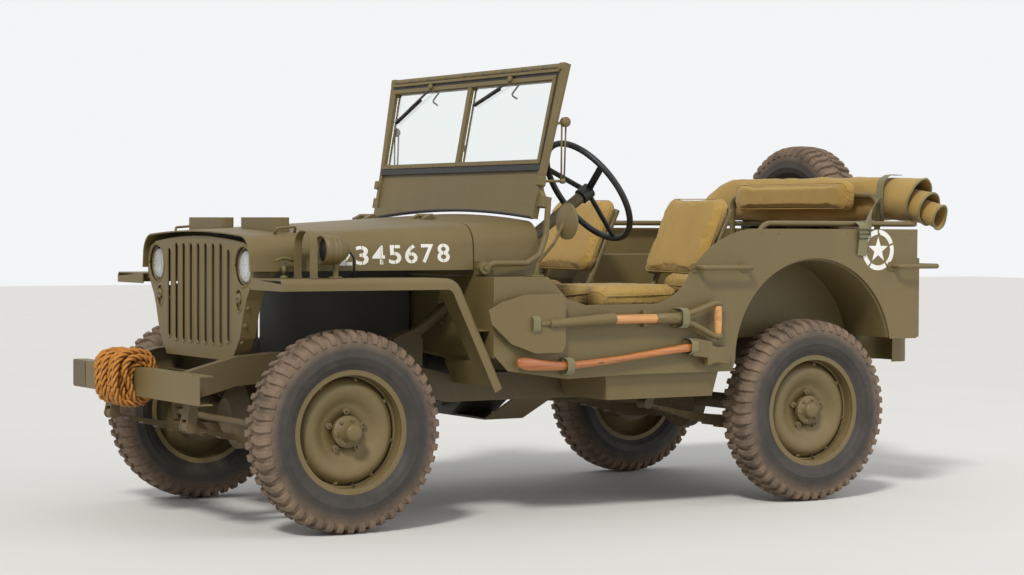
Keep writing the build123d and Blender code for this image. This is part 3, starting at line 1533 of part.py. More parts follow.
with BuildPart() as controls:
    for x, at, stem, width, length in pedal_table:
        with BuildSketch(Plane(origin=(x, behind(at), toe_height(at) + 2 * seat_gap), x_dir=(1, 0, 0), z_dir=toe_board)):
            Circle(9)
        extrude(amount=stem)
        with BuildSketch(Plane(origin=(x, behind(at) + stem * toe_board[1], toe_height(at) + stem * toe_board[2]),
                               x_dir=(1, 0, 0), z_dir=toe_board)):
            RectangleRounded(width, length, 10)
        extrude(amount=10)
    for x, foot_at, top_at, top_z, rod, knob in lever_table:
        foot_z = tunnel_height(foot_at) + 2 * seat_gap
        rise = Vector(0, top_at - foot_at, top_z - foot_z)
        with BuildSketch(Plane(origin=(x, behind(foot_at), foot_z), z_dir=rise)):
            Circle(rod)
        extrude(amount=rise.length)
        with Locations((x, behind(top_at), top_z)):
            Sphere(knob)
controls.part.label = "controls"
export_step(controls.part, "parts/controls.step")


# Windshield: a leaning frame with glass above and sheet below, folding forward on two arms

windshield_lean = 11.14
windshield_at = 824.0
windshield_z = 1284.0
windshield_depth = 25.0
windshield_arm_x = 650.0
windshield_arm_radius = 11.0
glass_thickness = 5.0
post_half = 14.0
opening_low = 30.0
opening_high = 324.0
opening_half_low = 588.0
opening_half_high = 600.0
windshield_outline = [
    # half width, distance up the leaning plane
    (661, 388),
    (623, 0),
    (614, -190),
]
panel_crown = 30.0
windshield_normal = (0, -cos(radians(windshield_lean)), sin(radians(windshield_lean)))


def windshield_plane(ahead=0.0):
    # Local y runs up the leaning frame, and the plane moves towards the front by the given distance
    origin = (0, behind(windshield_at) + ahead * windshield_normal[1], windshield_z + ahead * windshield_normal[2])
    return Plane(origin=origin, x_dir=(1, 0, 0), z_dir=windshield_normal)


def pane_sketch(ahead, inset):
    # The two glass openings beside the centre post, drawn smaller by the inset
    with BuildSketch(windshield_plane(ahead)) as panes:
        for side in (-1, 1):
            with BuildLine():
                Polyline((side * (post_half + inset), opening_low + inset),
                         (side * (opening_half_low - inset), opening_low + inset),
                         (side * (opening_half_high - inset), opening_high - inset),
                         (side * (post_half + inset), opening_high - inset), close=True)
            make_face()
        fillet(panes.vertices(), radius=12)
    return panes.sketch


arm_points = [
    # station and height along each folding arm, from its pivot to the frame
    (pivot_at, pivot_z),
    (592, 936),
    (730, 936),
    (785, 966),
    (813, 1038),
    (823, 1175),
]
with BuildPart() as windshield_frame:
    with BuildSketch(windshield_plane(-windshield_depth / 2)):
        with BuildLine():
            Polyline((-614, -190), (-623, 0), (-661, 388), (661, 388), (623, 0), (614, -190))
            ThreePointArc((614, -190), (0, -190 + panel_crown), (-614, -190))
        make_face()
    extrude(amount=windshield_depth)
    extrude(pane_sketch(-windshield_depth, 0), amount=2 * windshield_depth, mode=Mode.SUBTRACT)
    with BuildSketch(windshield_plane(4)):
        with BuildLine():
            Polyline((-596, -150), (-600, 0), (600, 0), (596, -150))
            ThreePointArc((596, -150), (0, -125), (-596, -150))
        make_face()
    extrude(amount=windshield_depth, mode=Mode.SUBTRACT)
    with BuildSketch(windshield_plane(-4)):
        with BuildLine():
            Polyline((-596, -150), (-600, 0), (600, 0), (596, -150))
            ThreePointArc((596, -150), (0, -125), (-596, -150))
        make_face()
    extrude(amount=-windshield_depth, mode=Mode.SUBTRACT)
    for side in (-1, 1):
        arm = bent_route([(side * windshield_arm_x, *point) for point in arm_points], 14)
        sweep(round_section(arm, windshield_arm_radius), path=arm)
        with BuildSketch(windshield_plane(-32)):
            with Locations((side * (windshield_arm_x - 24), -125)):
                Rectangle(56, 40)
        extrude(amount=36)
        with BuildSketch(side_plane(side * (windshield_arm_x - windshield_arm_radius))):
            with Locations((behind(pivot_at), pivot_z)):
                Circle(22)
        extrude(amount=side * 2 * windshield_arm_radius)
        with BuildSketch(side_plane(side * (windshield_arm_x - 2 * windshield_arm_radius))):
            with Locations((behind(pivot_at), pivot_z)):
                Circle(pivot_pin_radius + seat_gap)
        extrude(amount=side * 4 * windshield_arm_radius, mode=Mode.SUBTRACT)
windshield_frame.part.label = "windshield_frame"
export_step(windshield_frame.part, "parts/windshield_frame.step")

with BuildPart() as windshield_glass:
    extrude(pane_sketch(-glass_thickness / 2, seat_gap), amount=glass_thickness)
windshield_glass.part.label = "windshield_glass"
export_step(windshield_glass.part, "parts/windshield_glass.step")

wiper_table = [
    # pivot and far end of each blade: across, then up the leaning frame
    (-304, 341, -566, 205),
    (304, 341, 44, 254),
]
wiper_arm_share = 0.6
blade_start_share = 0.34
with BuildPart() as wipers:
    for x, up, end_x, end_up in wiper_table:
        blade_run = Vector(end_x - x, end_up - up)
        slant = degrees(atan2(blade_run.Y, blade_run.X))
        arm_middle = Vector(x, up) + blade_run * (wiper_arm_share / 2)
        blade_middle = Vector(x, up) + blade_run * ((1 + blade_start_share) / 2)
        with BuildSketch(windshield_plane(windshield_depth / 2 + seat_gap)):
            with Locations((x, up)):
                Circle(12)
        extrude(amount=9)
        with BuildSketch(windshield_plane(windshield_depth / 2 + seat_gap)):
            with Locations(arm_middle):
                Rectangle(wiper_arm_share * blade_run.length, 8, rotation=slant)
        extrude(amount=5)
        with BuildSketch(windshield_plane(glass_thickness / 2 + seat_gap)):
            with Locations(blade_middle):
                Rectangle((1 - blade_start_share) * blade_run.length, 8, rotation=slant)
        extrude(amount=14)
wipers.part.label = "wipers"
export_step(wipers.part, "parts/wipers.step")


# Tools strapped along the left side: a shovel above and an axe below

tool_gap_x = body_half_width + seat_gap
shovel_x = body_half_width + 34
shovel_handle_radius = 17.0
shovel_z = 731.0
shovel_blade = [
    # station and height round the blade, point first
    (505, 771), (560, 800), (658, 826), (813, 827), (829, 800), (829, 640), (815, 615), (701, 614), (600, 650),
    (520, 720),
]
axe_haft = [
    # station and height along the top edge and back along the lower edge
    (626, 566), (660, 553), (850, 550), (1135, 582), (1383, 607), (1457, 592), (1457, 618), (1383, 640),
    (1135, 604), (850, 580), (672, 603), (640, 600),
]
axe_head = [
    (1457.3, 552), (1500, 562), (1556, 556), (1556, 622), (1500, 618), (1457.3, 634),
]
axe_x = body_half_width + 26
axe_thickness = 26.0
clamp_table = [
    # station, height, length, height and depth of the clamp blocks that carry the tools
    (1345, 728, 60, 60, shovel_x - body_half_width - shovel_handle_radius - 2 * seat_gap),
    (1200, shovel_z, 40, 60, shovel_x - body_half_width - shovel_handle_radius - 2 * seat_gap),
    (700, 716, 70, 60, shovel_x - body_half_width - 10 - 2 * seat_gap),
    (846, 565, 40, 60, axe_x - body_half_width - axe_thickness / 2 - 2 * seat_gap),
    (1400, 622, 60, 50, axe_x - body_half_width - axe_thickness / 2 - 2 * seat_gap),
]
with BuildPart() as tool_heads:
    with BuildSketch(side_plane(shovel_x - 10)):
        with BuildLine():
            Polyline(*stations(shovel_blade), close=True)
        make_face()
    extrude(amount=8)
    with BuildSketch(front_plane(behind(760))):
        with Locations((shovel_x, 720)):
            Circle(15)
    with BuildSketch(front_plane(behind(1037))):
        with Locations((shovel_x, 734)):
            Circle(21)
    loft()
    with BuildSketch(front_plane(behind(950))):
        with Locations((shovel_x, shovel_z)):
            Circle(shovel_handle_radius + seat_gap)
    extrude(amount=-120, mode=Mode.SUBTRACT)
    with BuildSketch(side_plane(axe_x - 16)):
        with BuildLine():
            Polyline(*stations(axe_head), close=True)
        make_face()
    extrude(amount=32)
tool_heads.part.label = "tool_heads"
export_step(tool_heads.part, "parts/tool_heads.step")

with BuildPart() as tool_handles:
    with BuildSketch(front_plane(behind(955))):
        with Locations((shovel_x, shovel_z)):
            Circle(shovel_handle_radius)
    extrude(amount=955 - 1300)
    with BuildSketch(side_plane(shovel_x - 13)):
        with BuildLine():
            Polyline(*stations([(1290, 711), (1378, 705), (1500, 652), (1524, 668), (1524, 782), (1500, 792),
                                (1378, 745), (1290, 745)]), close=True)
        make_face()
        with BuildLine():
            Polyline(*stations([(1400, 724), (1486, 686), (1494, 694), (1494, 754), (1486, 762)]), close=True)
        make_face(mode=Mode.SUBTRACT)
    extrude(amount=26)
    with BuildSketch(side_plane(axe_x - axe_thickness / 2)):
        with BuildLine():
            Polyline(*stations(axe_haft), close=True)
        make_face()
    extrude(amount=axe_thickness)
tool_handles.part.label = "tool_handles"
export_step(tool_handles.part, "parts/tool_handles.step")

with BuildPart() as tool_clamps:
    for at, z, length, height, depth in clamp_table:
        with BuildSketch(side_plane(tool_gap_x)):
            with Locations((behind(at), z)):
                Rectangle(length, height)
        extrude(amount=depth)
tool_clamps.part.label = "tool_clamps"
export_step(tool_clamps.part, "parts/tool_clamps.step")


# Grab handles along the body sides

handle_radius = 10.0
handle_plate = 5.0
handle_x = body_half_width + 50
handle_z = 918.0
front_handle = [
    # x, station
    (tool_gap_x, rear_floor_start - 268),
    (handle_x, rear_floor_start - 268),
    (handle_x, rear_floor_start - 39),
    (tool_gap_x, rear_floor_start - 39),
]
rear_handle = [
    (tool_gap_x, body_rear - 142),
    (handle_x, body_rear - 142),
    (handle_x, body_rear + 53),
    (body_half_width - 80, body_rear + 53),
    (body_half_width - 80, body_rear + seat_gap),
]
with BuildPart() as grab_handles:
    for side in (-1, 1):
        for route_points in (front_handle, rear_handle):
            route = bent_route([(side * x, at, handle_z) for x, at in route_points], 18)
            sweep(round_section(route, handle_radius), path=route)
            with BuildSketch(side_plane(side * tool_gap_x)):
                for x, at in route_points:
                    if x == tool_gap_x:
                        with Locations((behind(at), handle_z)):
                            RectangleRounded(54, 34, 10)
            extrude(amount=side * handle_plate)
grab_handles.part.label = "grab_handles"
export_step(grab_handles.part, "parts/grab_handles.step")


# Round mirror on its arm from the cowl ledge

mirror_foot_x = body_half_width - 30
mirror_foot_at = dash_at - 60
mirror_x = body_half_width + 70
mirror_at = dash_at + 10
mirror_z = 1088.0
mirror_radius = 65.0
mirror_depth = 16.0
with BuildPart() as mirror:
    with BuildSketch(Plane.XY.offset(ledge_z + seat_gap)):
        with Locations((mirror_foot_x, behind(mirror_foot_at))):
            Rectangle(44, 50)
    extrude(amount=6)
    mirror_arm = bent_route([(mirror_foot_x, mirror_foot_at, ledge_z + 3), (mirror_foot_x + 10, mirror_foot_at + 7, 940),
                             (mirror_x - 20, mirror_foot_at + 30, 1010), (mirror_x, mirror_at - 8, mirror_z)], 12)
    sweep(round_section(mirror_arm, 6), path=mirror_arm)
    with BuildSketch(Plane(origin=(mirror_x, behind(mirror_at), mirror_z), x_dir=(1, 0, 0), z_dir=(0, 0, 1))):
        with BuildLine():
            Line((0, -mirror_depth), (0, mirror_depth / 2))
            Line((0, mirror_depth / 2), (mirror_radius, mirror_depth / 2))
            Line((mirror_radius, mirror_depth / 2), (mirror_radius, -2))
            ThreePointArc((mirror_radius, -2), (0.6 * mirror_radius, -0.72 * mirror_depth), (0, -mirror_depth))
        make_face()
    revolve(axis=Axis((mirror_x, behind(mirror_at), mirror_z), (0, 1, 0)))
mirror.part.label = "mirror"
export_step(mirror.part, "parts/mirror.step")


# Rope wound round the front bumper, right of its middle

rope_centre_x = -90.0
rope_steps = [
    # half width, front and rear station, lower and upper height, corner radius
    (130, -584, -452, 436, 596, 26),
    (112, -602, -446, 424, 614, 34),
    (84, -616, -440, 414, 628, 44),
]
with BuildPart() as rope_hank:
    for half, front_at, rear_at, low, high, corner in rope_steps:
        with BuildSketch(side_plane(rope_centre_x - half)):
            with Locations((behind((front_at + rear_at) / 2), (low + high) / 2)):
                RectangleRounded(rear_at - front_at, high - low, corner)
        extrude(amount=2 * half)
    with BuildSketch(side_plane(rope_centre_x - 300)):
        with Locations((bumper_y + bumper_depth / 2, bumper_z + bumper_height / 2)):
            Rectangle(bumper_depth + 2 * seat_gap, bumper_height + 2 * seat_gap)
    extrude(amount=600, mode=Mode.SUBTRACT)
rope_hank.part.label = "rope_hank"
export_step(rope_hank.part, "parts/rope_hank.step")


# Tow eye at the middle of the rear cross member

tow_eye_at = frame_rear + 67.5
tow_eye_z = 584.0
tow_eye_outer = 34.0
tow_eye_bore = 17.0
with BuildPart() as tow_hook:
    with BuildSketch(front_plane(behind(frame_rear) + seat_gap)):
        with Locations((0, tow_eye_z)):
            RectangleRounded(120, 84, 12)
    extrude(amount=-12)
    with BuildSketch(side_plane(-18)):
        with Locations((behind(tow_eye_at), tow_eye_z)):
            Circle(tow_eye_outer)
        with Locations(((behind(tow_eye_at) + behind(frame_rear)) / 2 + 4, tow_eye_z)):
            Rectangle(tow_eye_at - frame_rear - 8, 44)
        with Locations((behind(tow_eye_at), tow_eye_z)):
            Circle(tow_eye_bore, mode=Mode.SUBTRACT)
    extrude(amount=36)
tow_hook.part.label = "tow_hook"
export_step(tow_hook.part, "parts/tow_hook.step")
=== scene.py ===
import math

import bmesh
import bpy
from mathutils import Matrix, Vector, noise


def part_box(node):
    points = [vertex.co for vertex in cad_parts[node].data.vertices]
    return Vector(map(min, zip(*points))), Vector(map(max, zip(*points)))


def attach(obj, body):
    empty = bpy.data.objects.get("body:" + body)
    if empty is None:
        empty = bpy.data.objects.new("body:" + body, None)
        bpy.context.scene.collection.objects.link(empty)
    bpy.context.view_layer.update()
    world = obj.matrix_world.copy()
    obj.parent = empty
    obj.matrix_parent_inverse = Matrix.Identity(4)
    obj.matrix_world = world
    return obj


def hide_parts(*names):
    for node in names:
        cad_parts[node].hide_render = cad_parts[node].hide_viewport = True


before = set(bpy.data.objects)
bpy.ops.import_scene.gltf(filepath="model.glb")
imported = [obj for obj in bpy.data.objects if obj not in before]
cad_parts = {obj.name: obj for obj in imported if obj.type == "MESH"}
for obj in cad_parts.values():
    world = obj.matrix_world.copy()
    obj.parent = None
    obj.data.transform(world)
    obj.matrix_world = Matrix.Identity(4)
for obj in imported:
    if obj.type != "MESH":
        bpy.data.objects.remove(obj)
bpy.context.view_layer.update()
print("frame loaded:", len(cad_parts), "nodes")


def middle(node):
    low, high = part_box(node)
    return (low + high) / 2


# The car faces -Y, its left side is +X. Lengths along the car are written in millimetres behind the
# front axle, as they are in the part's source, and place() turns them into metres of the frame.
frontAxle = middle("tyre_front_left")
tyreRadius = frontAxle.z


def place(x, back, z):
    return Vector((x / 1000, frontAxle.y + back / 1000, z / 1000))


def linkUp(obj):
    bpy.context.collection.objects.link(obj)
    return obj


def meshPiece(name, verts, faces, material=None, smooth=True, turnOut=True):
    mesh = bpy.data.meshes.new(name)
    mesh.from_pydata([tuple(v) for v in verts], [], faces)
    if turnOut:
        shape = bmesh.new()
        shape.from_mesh(mesh)
        bmesh.ops.remove_doubles(shape, verts=shape.verts, dist=1e-6)
        bmesh.ops.recalc_face_normals(shape, faces=shape.faces)
        shape.to_mesh(mesh)
        shape.free()
    for face in mesh.polygons:
        face.use_smooth = smooth
    if material:
        mesh.materials.append(material)
    return linkUp(bpy.data.objects.new(name, mesh))


def applyModifiers(obj):
    # the evaluated shape becomes the mesh, and no modifier is left
    bpy.context.view_layer.update()
    evaluated = obj.evaluated_get(bpy.context.evaluated_depsgraph_get())
    mesh = bpy.data.meshes.new_from_object(evaluated)
    name = obj.name
    bpy.data.objects.remove(obj)
    mesh.name = name
    return linkUp(bpy.data.objects.new(name, mesh))


def shadeSmooth(obj):
    for face in obj.data.polygons:
        face.use_smooth = True
    return obj


def joinPieces(name, parts):
    # one mesh from several, each with its own materials
    shape = bmesh.new()
    materials = []
    for part in parts:
        start = len(shape.faces)
        shape.from_mesh(part.data)
        shape.faces.ensure_lookup_table()
        slots = list(part.data.materials)
        for face in shape.faces[start:]:
            material = slots[face.material_index] if slots else None
            if material not in materials:
                materials.append(material)
            face.material_index = materials.index(material)
        bpy.data.objects.remove(part)
    mesh = bpy.data.meshes.new(name)
    shape.to_mesh(mesh)
    shape.free()
    for material in materials:
        mesh.materials.append(material)
    return linkUp(bpy.data.objects.new(name, mesh))


def handOver(piece, body, slot, *nodes):
    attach(piece, body)
    if nodes:
        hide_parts(*nodes)
    return piece


# Camera: solved from the wheels and body corners in the photograph.
camera = {
    "eye": (7.8803, -4.8390, 1.0774),
    "turn": 1.02077622,
    "drop": 0.02696234,
    "roll": 0.00457782,
    "lens": 82.57,
}


def addCamera():
    turn, drop, roll = camera["turn"], camera["drop"], camera["roll"]
    ahead = Vector((-math.sin(turn) * math.cos(drop), math.cos(turn) * math.cos(drop), -math.sin(drop)))
    right = Vector((math.cos(turn), math.sin(turn), 0))
    up = right.cross(ahead)
    acrossFrame = right * math.cos(roll) + up * math.sin(roll)
    upFrame = up * math.cos(roll) - right * math.sin(roll)
    data = bpy.data.cameras.new("camera")
    data.lens = camera["lens"]
    data.sensor_width = 36
    data.clip_end = 200
    eye = linkUp(bpy.data.objects.new("camera", data))
    turned = Matrix((acrossFrame, upFrame, -ahead)).transposed().to_4x4()
    eye.matrix_world = Matrix.Translation(camera["eye"]) @ turned
    bpy.context.scene.camera = eye


addCamera()
print("camera placed")


# Shader groups and materials
class Nodes:
    # a short way to add nodes to a tree and to link them
    def __init__(self, tree):
        self.tree = tree

    def add(self, kind, **settings):
        node = self.tree.nodes.new(kind)
        for key, value in settings.items():
            if hasattr(node, key):
                setattr(node, key, value)
            else:
                node.inputs[key.replace("_", " ").title()].default_value = value
        return node

    def join(self, source, target):
        self.tree.links.new(source, target)

    def maths(self, operation, first, second=0.0, clamp=False):
        node = self.tree.nodes.new("ShaderNodeMath")
        node.operation = operation
        node.use_clamp = clamp
        for socket, value in zip(node.inputs, (first, second)):
            if isinstance(value, (int, float)):
                socket.default_value = value
            else:
                self.join(value, socket)
        return node.outputs[0]

    def mix(self, amount, first, second, blend="MIX"):
        node = self.tree.nodes.new("ShaderNodeMix")
        node.data_type = "RGBA"
        node.blend_type = blend
        for index, value in ((0, amount), (6, first), (7, second)):
            socket = node.inputs[index]
            if isinstance(value, (int, float, tuple)):
                socket.default_value = value
            else:
                self.join(value, socket)
        return node.outputs[2]

    def noise(self, where, scale, detail=3.0, rough=0.5, stretch=None):
        node = self.tree.nodes.new("ShaderNodeTexNoise")
        node.inputs["Scale"].default_value = scale
        node.inputs["Detail"].default_value = detail
        node.inputs["Roughness"].default_value = rough
        if stretch:
            mapping = self.tree.nodes.new("ShaderNodeMapping")
            mapping.inputs["Scale"].default_value = stretch
            self.join(where, mapping.inputs["Vector"])
            where = mapping.outputs["Vector"]
        self.join(where, node.inputs["Vector"])
        return node.outputs["Fac"]

    def ramp(self, value, low, high, first=0.0, last=1.0):
        node = self.tree.nodes.new("ShaderNodeMapRange")
        node.interpolation_type = "SMOOTHSTEP"
        node.inputs["From Min"].default_value = low
        node.inputs["From Max"].default_value = high
        node.inputs["To Min"].default_value = first
        node.inputs["To Max"].default_value = last
        self.join(value, node.inputs["Value"])
        return node.outputs["Result"]


def shaderGroup(name, inputs, outputs):
    tree = bpy.data.node_groups.new(name, "ShaderNodeTree")
    for label, kind, value in inputs:
        socket = tree.interface.new_socket(label, in_out="INPUT", socket_type="NodeSocket" + kind)
        socket.default_value = value
    for label, kind in outputs:
        tree.interface.new_socket(label, in_out="OUTPUT", socket_type="NodeSocket" + kind)
    start = tree.nodes.new("NodeGroupInput")
    end = tree.nodes.new("NodeGroupOutput")
    return Nodes(tree), start.outputs, end.inputs


def colour(red, green, blue):
    return (red, green, blue, 1.0)


roadDust = colour(0.36, 0.235, 0.13)


def dustGroup():
    # road dust: on faces that look up, and thicker low down on the car
    n, given, out = shaderGroup(
        "roadDust",
        [("Colour", "Color", colour(0.2, 0.2, 0.2)), ("Roughness", "Float", 0.5),
         ("Dust", "Color", roadDust), ("Amount", "Float", 0.5), ("Knee", "Float", 0.55)],
        [("Colour", "Color"), ("Roughness", "Float"), ("Mask", "Float")])
    place3 = n.add("ShaderNodeTexCoord").outputs["Object"]
    facing = n.add("ShaderNodeNewGeometry").outputs["Normal"]
    apart = n.add("ShaderNodeSeparateXYZ")
    n.join(facing, apart.inputs[0])
    height = n.add("ShaderNodeSeparateXYZ")
    n.join(place3, height.inputs[0])
    low = n.maths("SUBTRACT", 1.0, n.maths("DIVIDE", height.outputs["Z"], given["Knee"]), clamp=True)
    patches = n.ramp(n.noise(place3, 3.2, 6.0, 0.62), 0.35, 0.7)
    grit = n.ramp(n.noise(place3, 38.0, 4.0, 0.7), 0.4, 0.72)
    lying = n.ramp(apart.outputs["Z"], 0.2, 1.0, 0.0, 0.55)
    mask = n.maths("ADD", n.maths("MULTIPLY", low, 0.75), n.maths("MULTIPLY", lying, patches))
    mask = n.maths("MULTIPLY", mask, n.maths("ADD", 0.55, n.maths("MULTIPLY", grit, 0.6)))
    mask = n.maths("MULTIPLY", mask, given["Amount"], clamp=True)
    n.join(n.mix(mask, given["Colour"], given["Dust"]), out["Colour"])
    n.join(n.maths("ADD", given["Roughness"], n.maths("MULTIPLY", mask, 0.35), clamp=True), out["Roughness"])
    n.join(mask, out["Mask"])
    return n.tree


def wearGroup():
    # brushed field paint: faded patches, edges lightened in chipped patches as part wear and part painted
    # highlight, faint brush and peel texture
    n, given, out = shaderGroup(
        "paintWear",
        [("Paint", "Color", colour(0.16, 0.12, 0.05)), ("Faded", "Color", colour(0.24, 0.185, 0.09)),
         ("Rubbed", "Color", colour(0.36, 0.30, 0.18)), ("Fade", "Float", 0.6), ("Edge", "Float", 0.5),
         ("Edge Width", "Float", 0.004)],
        [("Colour", "Color"), ("Roughness", "Float"), ("Height", "Float")])
    place3 = n.add("ShaderNodeTexCoord").outputs["Object"]
    clouds = n.ramp(n.noise(place3, 2.3, 5.0, 0.6), 0.3, 0.75)
    streaks = n.ramp(n.noise(place3, 9.0, 4.0, 0.65, (1.0, 1.0, 0.25)), 0.42, 0.75)
    fade = n.maths("MULTIPLY", n.maths("ADD", n.maths("MULTIPLY", clouds, 0.6),
                                       n.maths("MULTIPLY", streaks, 0.25)), given["Fade"], clamp=True)
    body = n.mix(fade, given["Paint"], given["Faded"])
    rounded = n.add("ShaderNodeBevel")
    rounded.samples = 4
    n.join(given["Edge Width"], rounded.inputs["Radius"])
    flat = n.add("ShaderNodeNewGeometry")
    across = n.add("ShaderNodeVectorMath", operation="DOT_PRODUCT")
    n.join(rounded.outputs["Normal"], across.inputs[0])
    n.join(flat.outputs["Normal"], across.inputs[1])
    edge = n.ramp(n.maths("SUBTRACT", 1.0, across.outputs["Value"]), 0.03, 0.2)
    chipped = n.ramp(n.noise(place3, 26.0, 5.0, 0.7), 0.42, 0.62)
    # part wear, part painted highlight: edges go towards a pale colour where the chip pattern allows
    wornEdgeHighlight = n.maths("MULTIPLY", n.maths("MULTIPLY", edge, chipped), given["Edge"], clamp=True)
    n.join(n.mix(wornEdgeHighlight, body, given["Rubbed"]), out["Colour"])
    peel = n.noise(place3, 320.0, 2.0, 0.5)
    wave = n.noise(place3, 14.0, 3.0, 0.5)
    n.join(n.maths("ADD", 0.42, n.maths("MULTIPLY", n.maths("ADD", clouds, peel), 0.11)), out["Roughness"])
    n.join(n.maths("ADD", n.maths("MULTIPLY", peel, 0.25), wave), out["Height"])
    return n.tree


groups = {"dust": dustGroup(), "wear": wearGroup()}


def placeGroup(n, group, **values):
    node = n.add("ShaderNodeGroup")
    node.node_tree = groups[group]
    for key, value in values.items():
        label = "".join(" " + c if c.isupper() else c for c in key).title()
        socket = node.inputs[label]
        if isinstance(value, (int, float, tuple)):
            socket.default_value = value
        else:
            n.join(value, socket)
    return node.outputs


def newMaterial(name):
    material = bpy.data.materials.new(name)
    material.use_nodes = True
    n = Nodes(material.node_tree)
    return material, n, material.node_tree.nodes["Principled BSDF"].inputs


def bumpNormal(n, shader, height, strength, distance, base=None):
    bump = n.add("ShaderNodeBump")
    bump.inputs["Strength"].default_value = strength
    bump.inputs["Distance"].default_value = distance
    n.join(height, bump.inputs["Height"])
    if base:
        n.join(base, bump.inputs["Normal"])
    n.join(bump.outputs["Normal"], shader["Normal"])


def paintMaterial(name, paint, faded, fade=0.6, edge=0.45, dust=0.5, knee=0.55, edgeWidth=0.004, metal=0.0):
    material, n, shader = newMaterial(name)
    worn = placeGroup(n, "wear", paint=paint, faded=faded, fade=fade, edge=edge, edgeWidth=edgeWidth)
    dusty = placeGroup(n, "dust", colour=worn["Colour"], roughness=worn["Roughness"], amount=dust, knee=knee)
    n.join(dusty["Colour"], shader["Base Color"])
    n.join(dusty["Roughness"], shader["Roughness"])
    shader["Metallic"].default_value = metal
    rounded = n.add("ShaderNodeBevel")
    rounded.samples = 4
    rounded.inputs["Radius"].default_value = edgeWidth * 0.7
    bumpNormal(n, shader, worn["Height"], 0.25, 0.0006, rounded.outputs["Normal"])
    return material


oliveDrab = colour(0.138, 0.101, 0.034)
oliveFaded = colour(0.200, 0.150, 0.062)
finishes = {
    "olivePaint": paintMaterial("olivePaint", oliveDrab, oliveFaded, fade=0.5, edge=0.3, dust=0.3),
    "oliveWheel": paintMaterial("oliveWheel", colour(0.128, 0.094, 0.033), oliveFaded, edge=0.3, dust=0.3,
                                knee=0.6),
    "chassisPaint": paintMaterial("chassisPaint", colour(0.080, 0.060, 0.024), colour(0.125, 0.095, 0.042),
                                  dust=0.5, knee=0.7),
    "engineGrey": paintMaterial("engineGrey", colour(0.040, 0.038, 0.030), colour(0.065, 0.060, 0.048),
                                dust=0.3),
    "blackEnamel": paintMaterial("blackEnamel", colour(0.012, 0.012, 0.013), colour(0.03, 0.03, 0.032),
                                 edge=0.2, dust=0.06),
    "bareSteel": paintMaterial("bareSteel", colour(0.075, 0.070, 0.060), colour(0.15, 0.135, 0.11), dust=0.3,
                               metal=0.5),
}


def rubberMaterial():
    # sidewalls stay dark, the tread's outside is brown with dust: "dusty" is written on the mesh
    material, n, shader = newMaterial("tyreRubber")
    place3 = n.add("ShaderNodeTexCoord").outputs["Object"]
    dusty = n.add("ShaderNodeAttribute", attribute_name="dusty").outputs["Fac"]
    patches = n.noise(place3, 11.0, 6.0, 0.65)
    grit = n.noise(place3, 160.0, 4.0, 0.7)
    caked = n.ramp(n.maths("ADD", patches, n.maths("MULTIPLY", grit, 0.35)), 0.4, 0.85, 0.35)
    amount = n.maths("MULTIPLY", dusty, caked)
    rubber = n.mix(n.ramp(patches, 0.3, 0.8), colour(0.020, 0.018, 0.016), colour(0.042, 0.035, 0.029))
    n.join(n.mix(amount, rubber, colour(0.215, 0.150, 0.100)), shader["Base Color"])
    n.join(n.ramp(amount, 0.0, 1.0, 0.62, 0.92), shader["Roughness"])
    bumpNormal(n, shader, n.maths("ADD", patches, n.maths("MULTIPLY", grit, 0.4)), 0.5, 0.0012)
    return material


def glassMaterial():
    material, n, shader = newMaterial("screenGlass")
    shader["Base Color"].default_value = colour(0.93, 0.97, 0.95)
    shader["Transmission Weight"].default_value = 1.0
    shader["IOR"].default_value = 1.45
    place3 = n.add("ShaderNodeTexCoord").outputs["Object"]
    smear = n.ramp(n.noise(place3, 5.0, 6.0, 0.7), 0.45, 0.8, 0.0, 0.07)
    n.join(smear, shader["Roughness"])
    return material


def canvasMaterial(name, cloth, worn, soiled, thread=0.0011, strength=0.45):
    # plain weave in Object coordinates: two families of threads, with fade, dust and damp marks
    material, n, shader = newMaterial(name)
    place3 = n.add("ShaderNodeTexCoord").outputs["Object"]
    parts = n.add("ShaderNodeSeparateXYZ")
    n.join(place3, parts.inputs[0])
    turns = 2 * math.pi / thread
    x, y, z = (parts.outputs[axis] for axis in "XYZ")
    warp = n.maths("SINE", n.maths("MULTIPLY", n.maths("ADD", x, z), turns))
    weft = n.maths("SINE", n.maths("MULTIPLY", n.maths("SUBTRACT", y, z), turns))
    weave = n.maths("ADD", n.maths("MULTIPLY", warp, 0.25), n.maths("MULTIPLY", weft, 0.25))
    weave = n.maths("ADD", weave, 0.5)
    slub = n.noise(place3, 240.0, 3.0, 0.6)
    fade = n.ramp(n.noise(place3, 3.5, 5.0, 0.6), 0.32, 0.72)
    marks = n.ramp(n.noise(place3, 8.0, 6.0, 0.7), 0.55, 0.8)
    body = n.mix(n.maths("MULTIPLY", fade, 0.6), cloth, worn)
    body = n.mix(n.maths("MULTIPLY", marks, 0.4), body, soiled)
    fine = n.maths("ADD", n.maths("MULTIPLY", weave, 0.5), n.maths("MULTIPLY", slub, 0.5))
    n.join(n.mix(n.ramp(fine, 0.25, 0.6), n.mix(0.22, body, soiled), body), shader["Base Color"])
    n.join(n.ramp(fine, 0.0, 1.0, 0.78, 0.95), shader["Roughness"])
    shader["Sheen Weight"].default_value = 0.18
    shader["Sheen Roughness"].default_value = 0.6
    soft = n.noise(place3, 26.0, 4.0, 0.55)
    height = n.maths("ADD", n.maths("MULTIPLY", fine, 0.35), n.maths("MULTIPLY", soft, 1.4))
    bumpNormal(n, shader, height, strength, 0.0016)
    return material


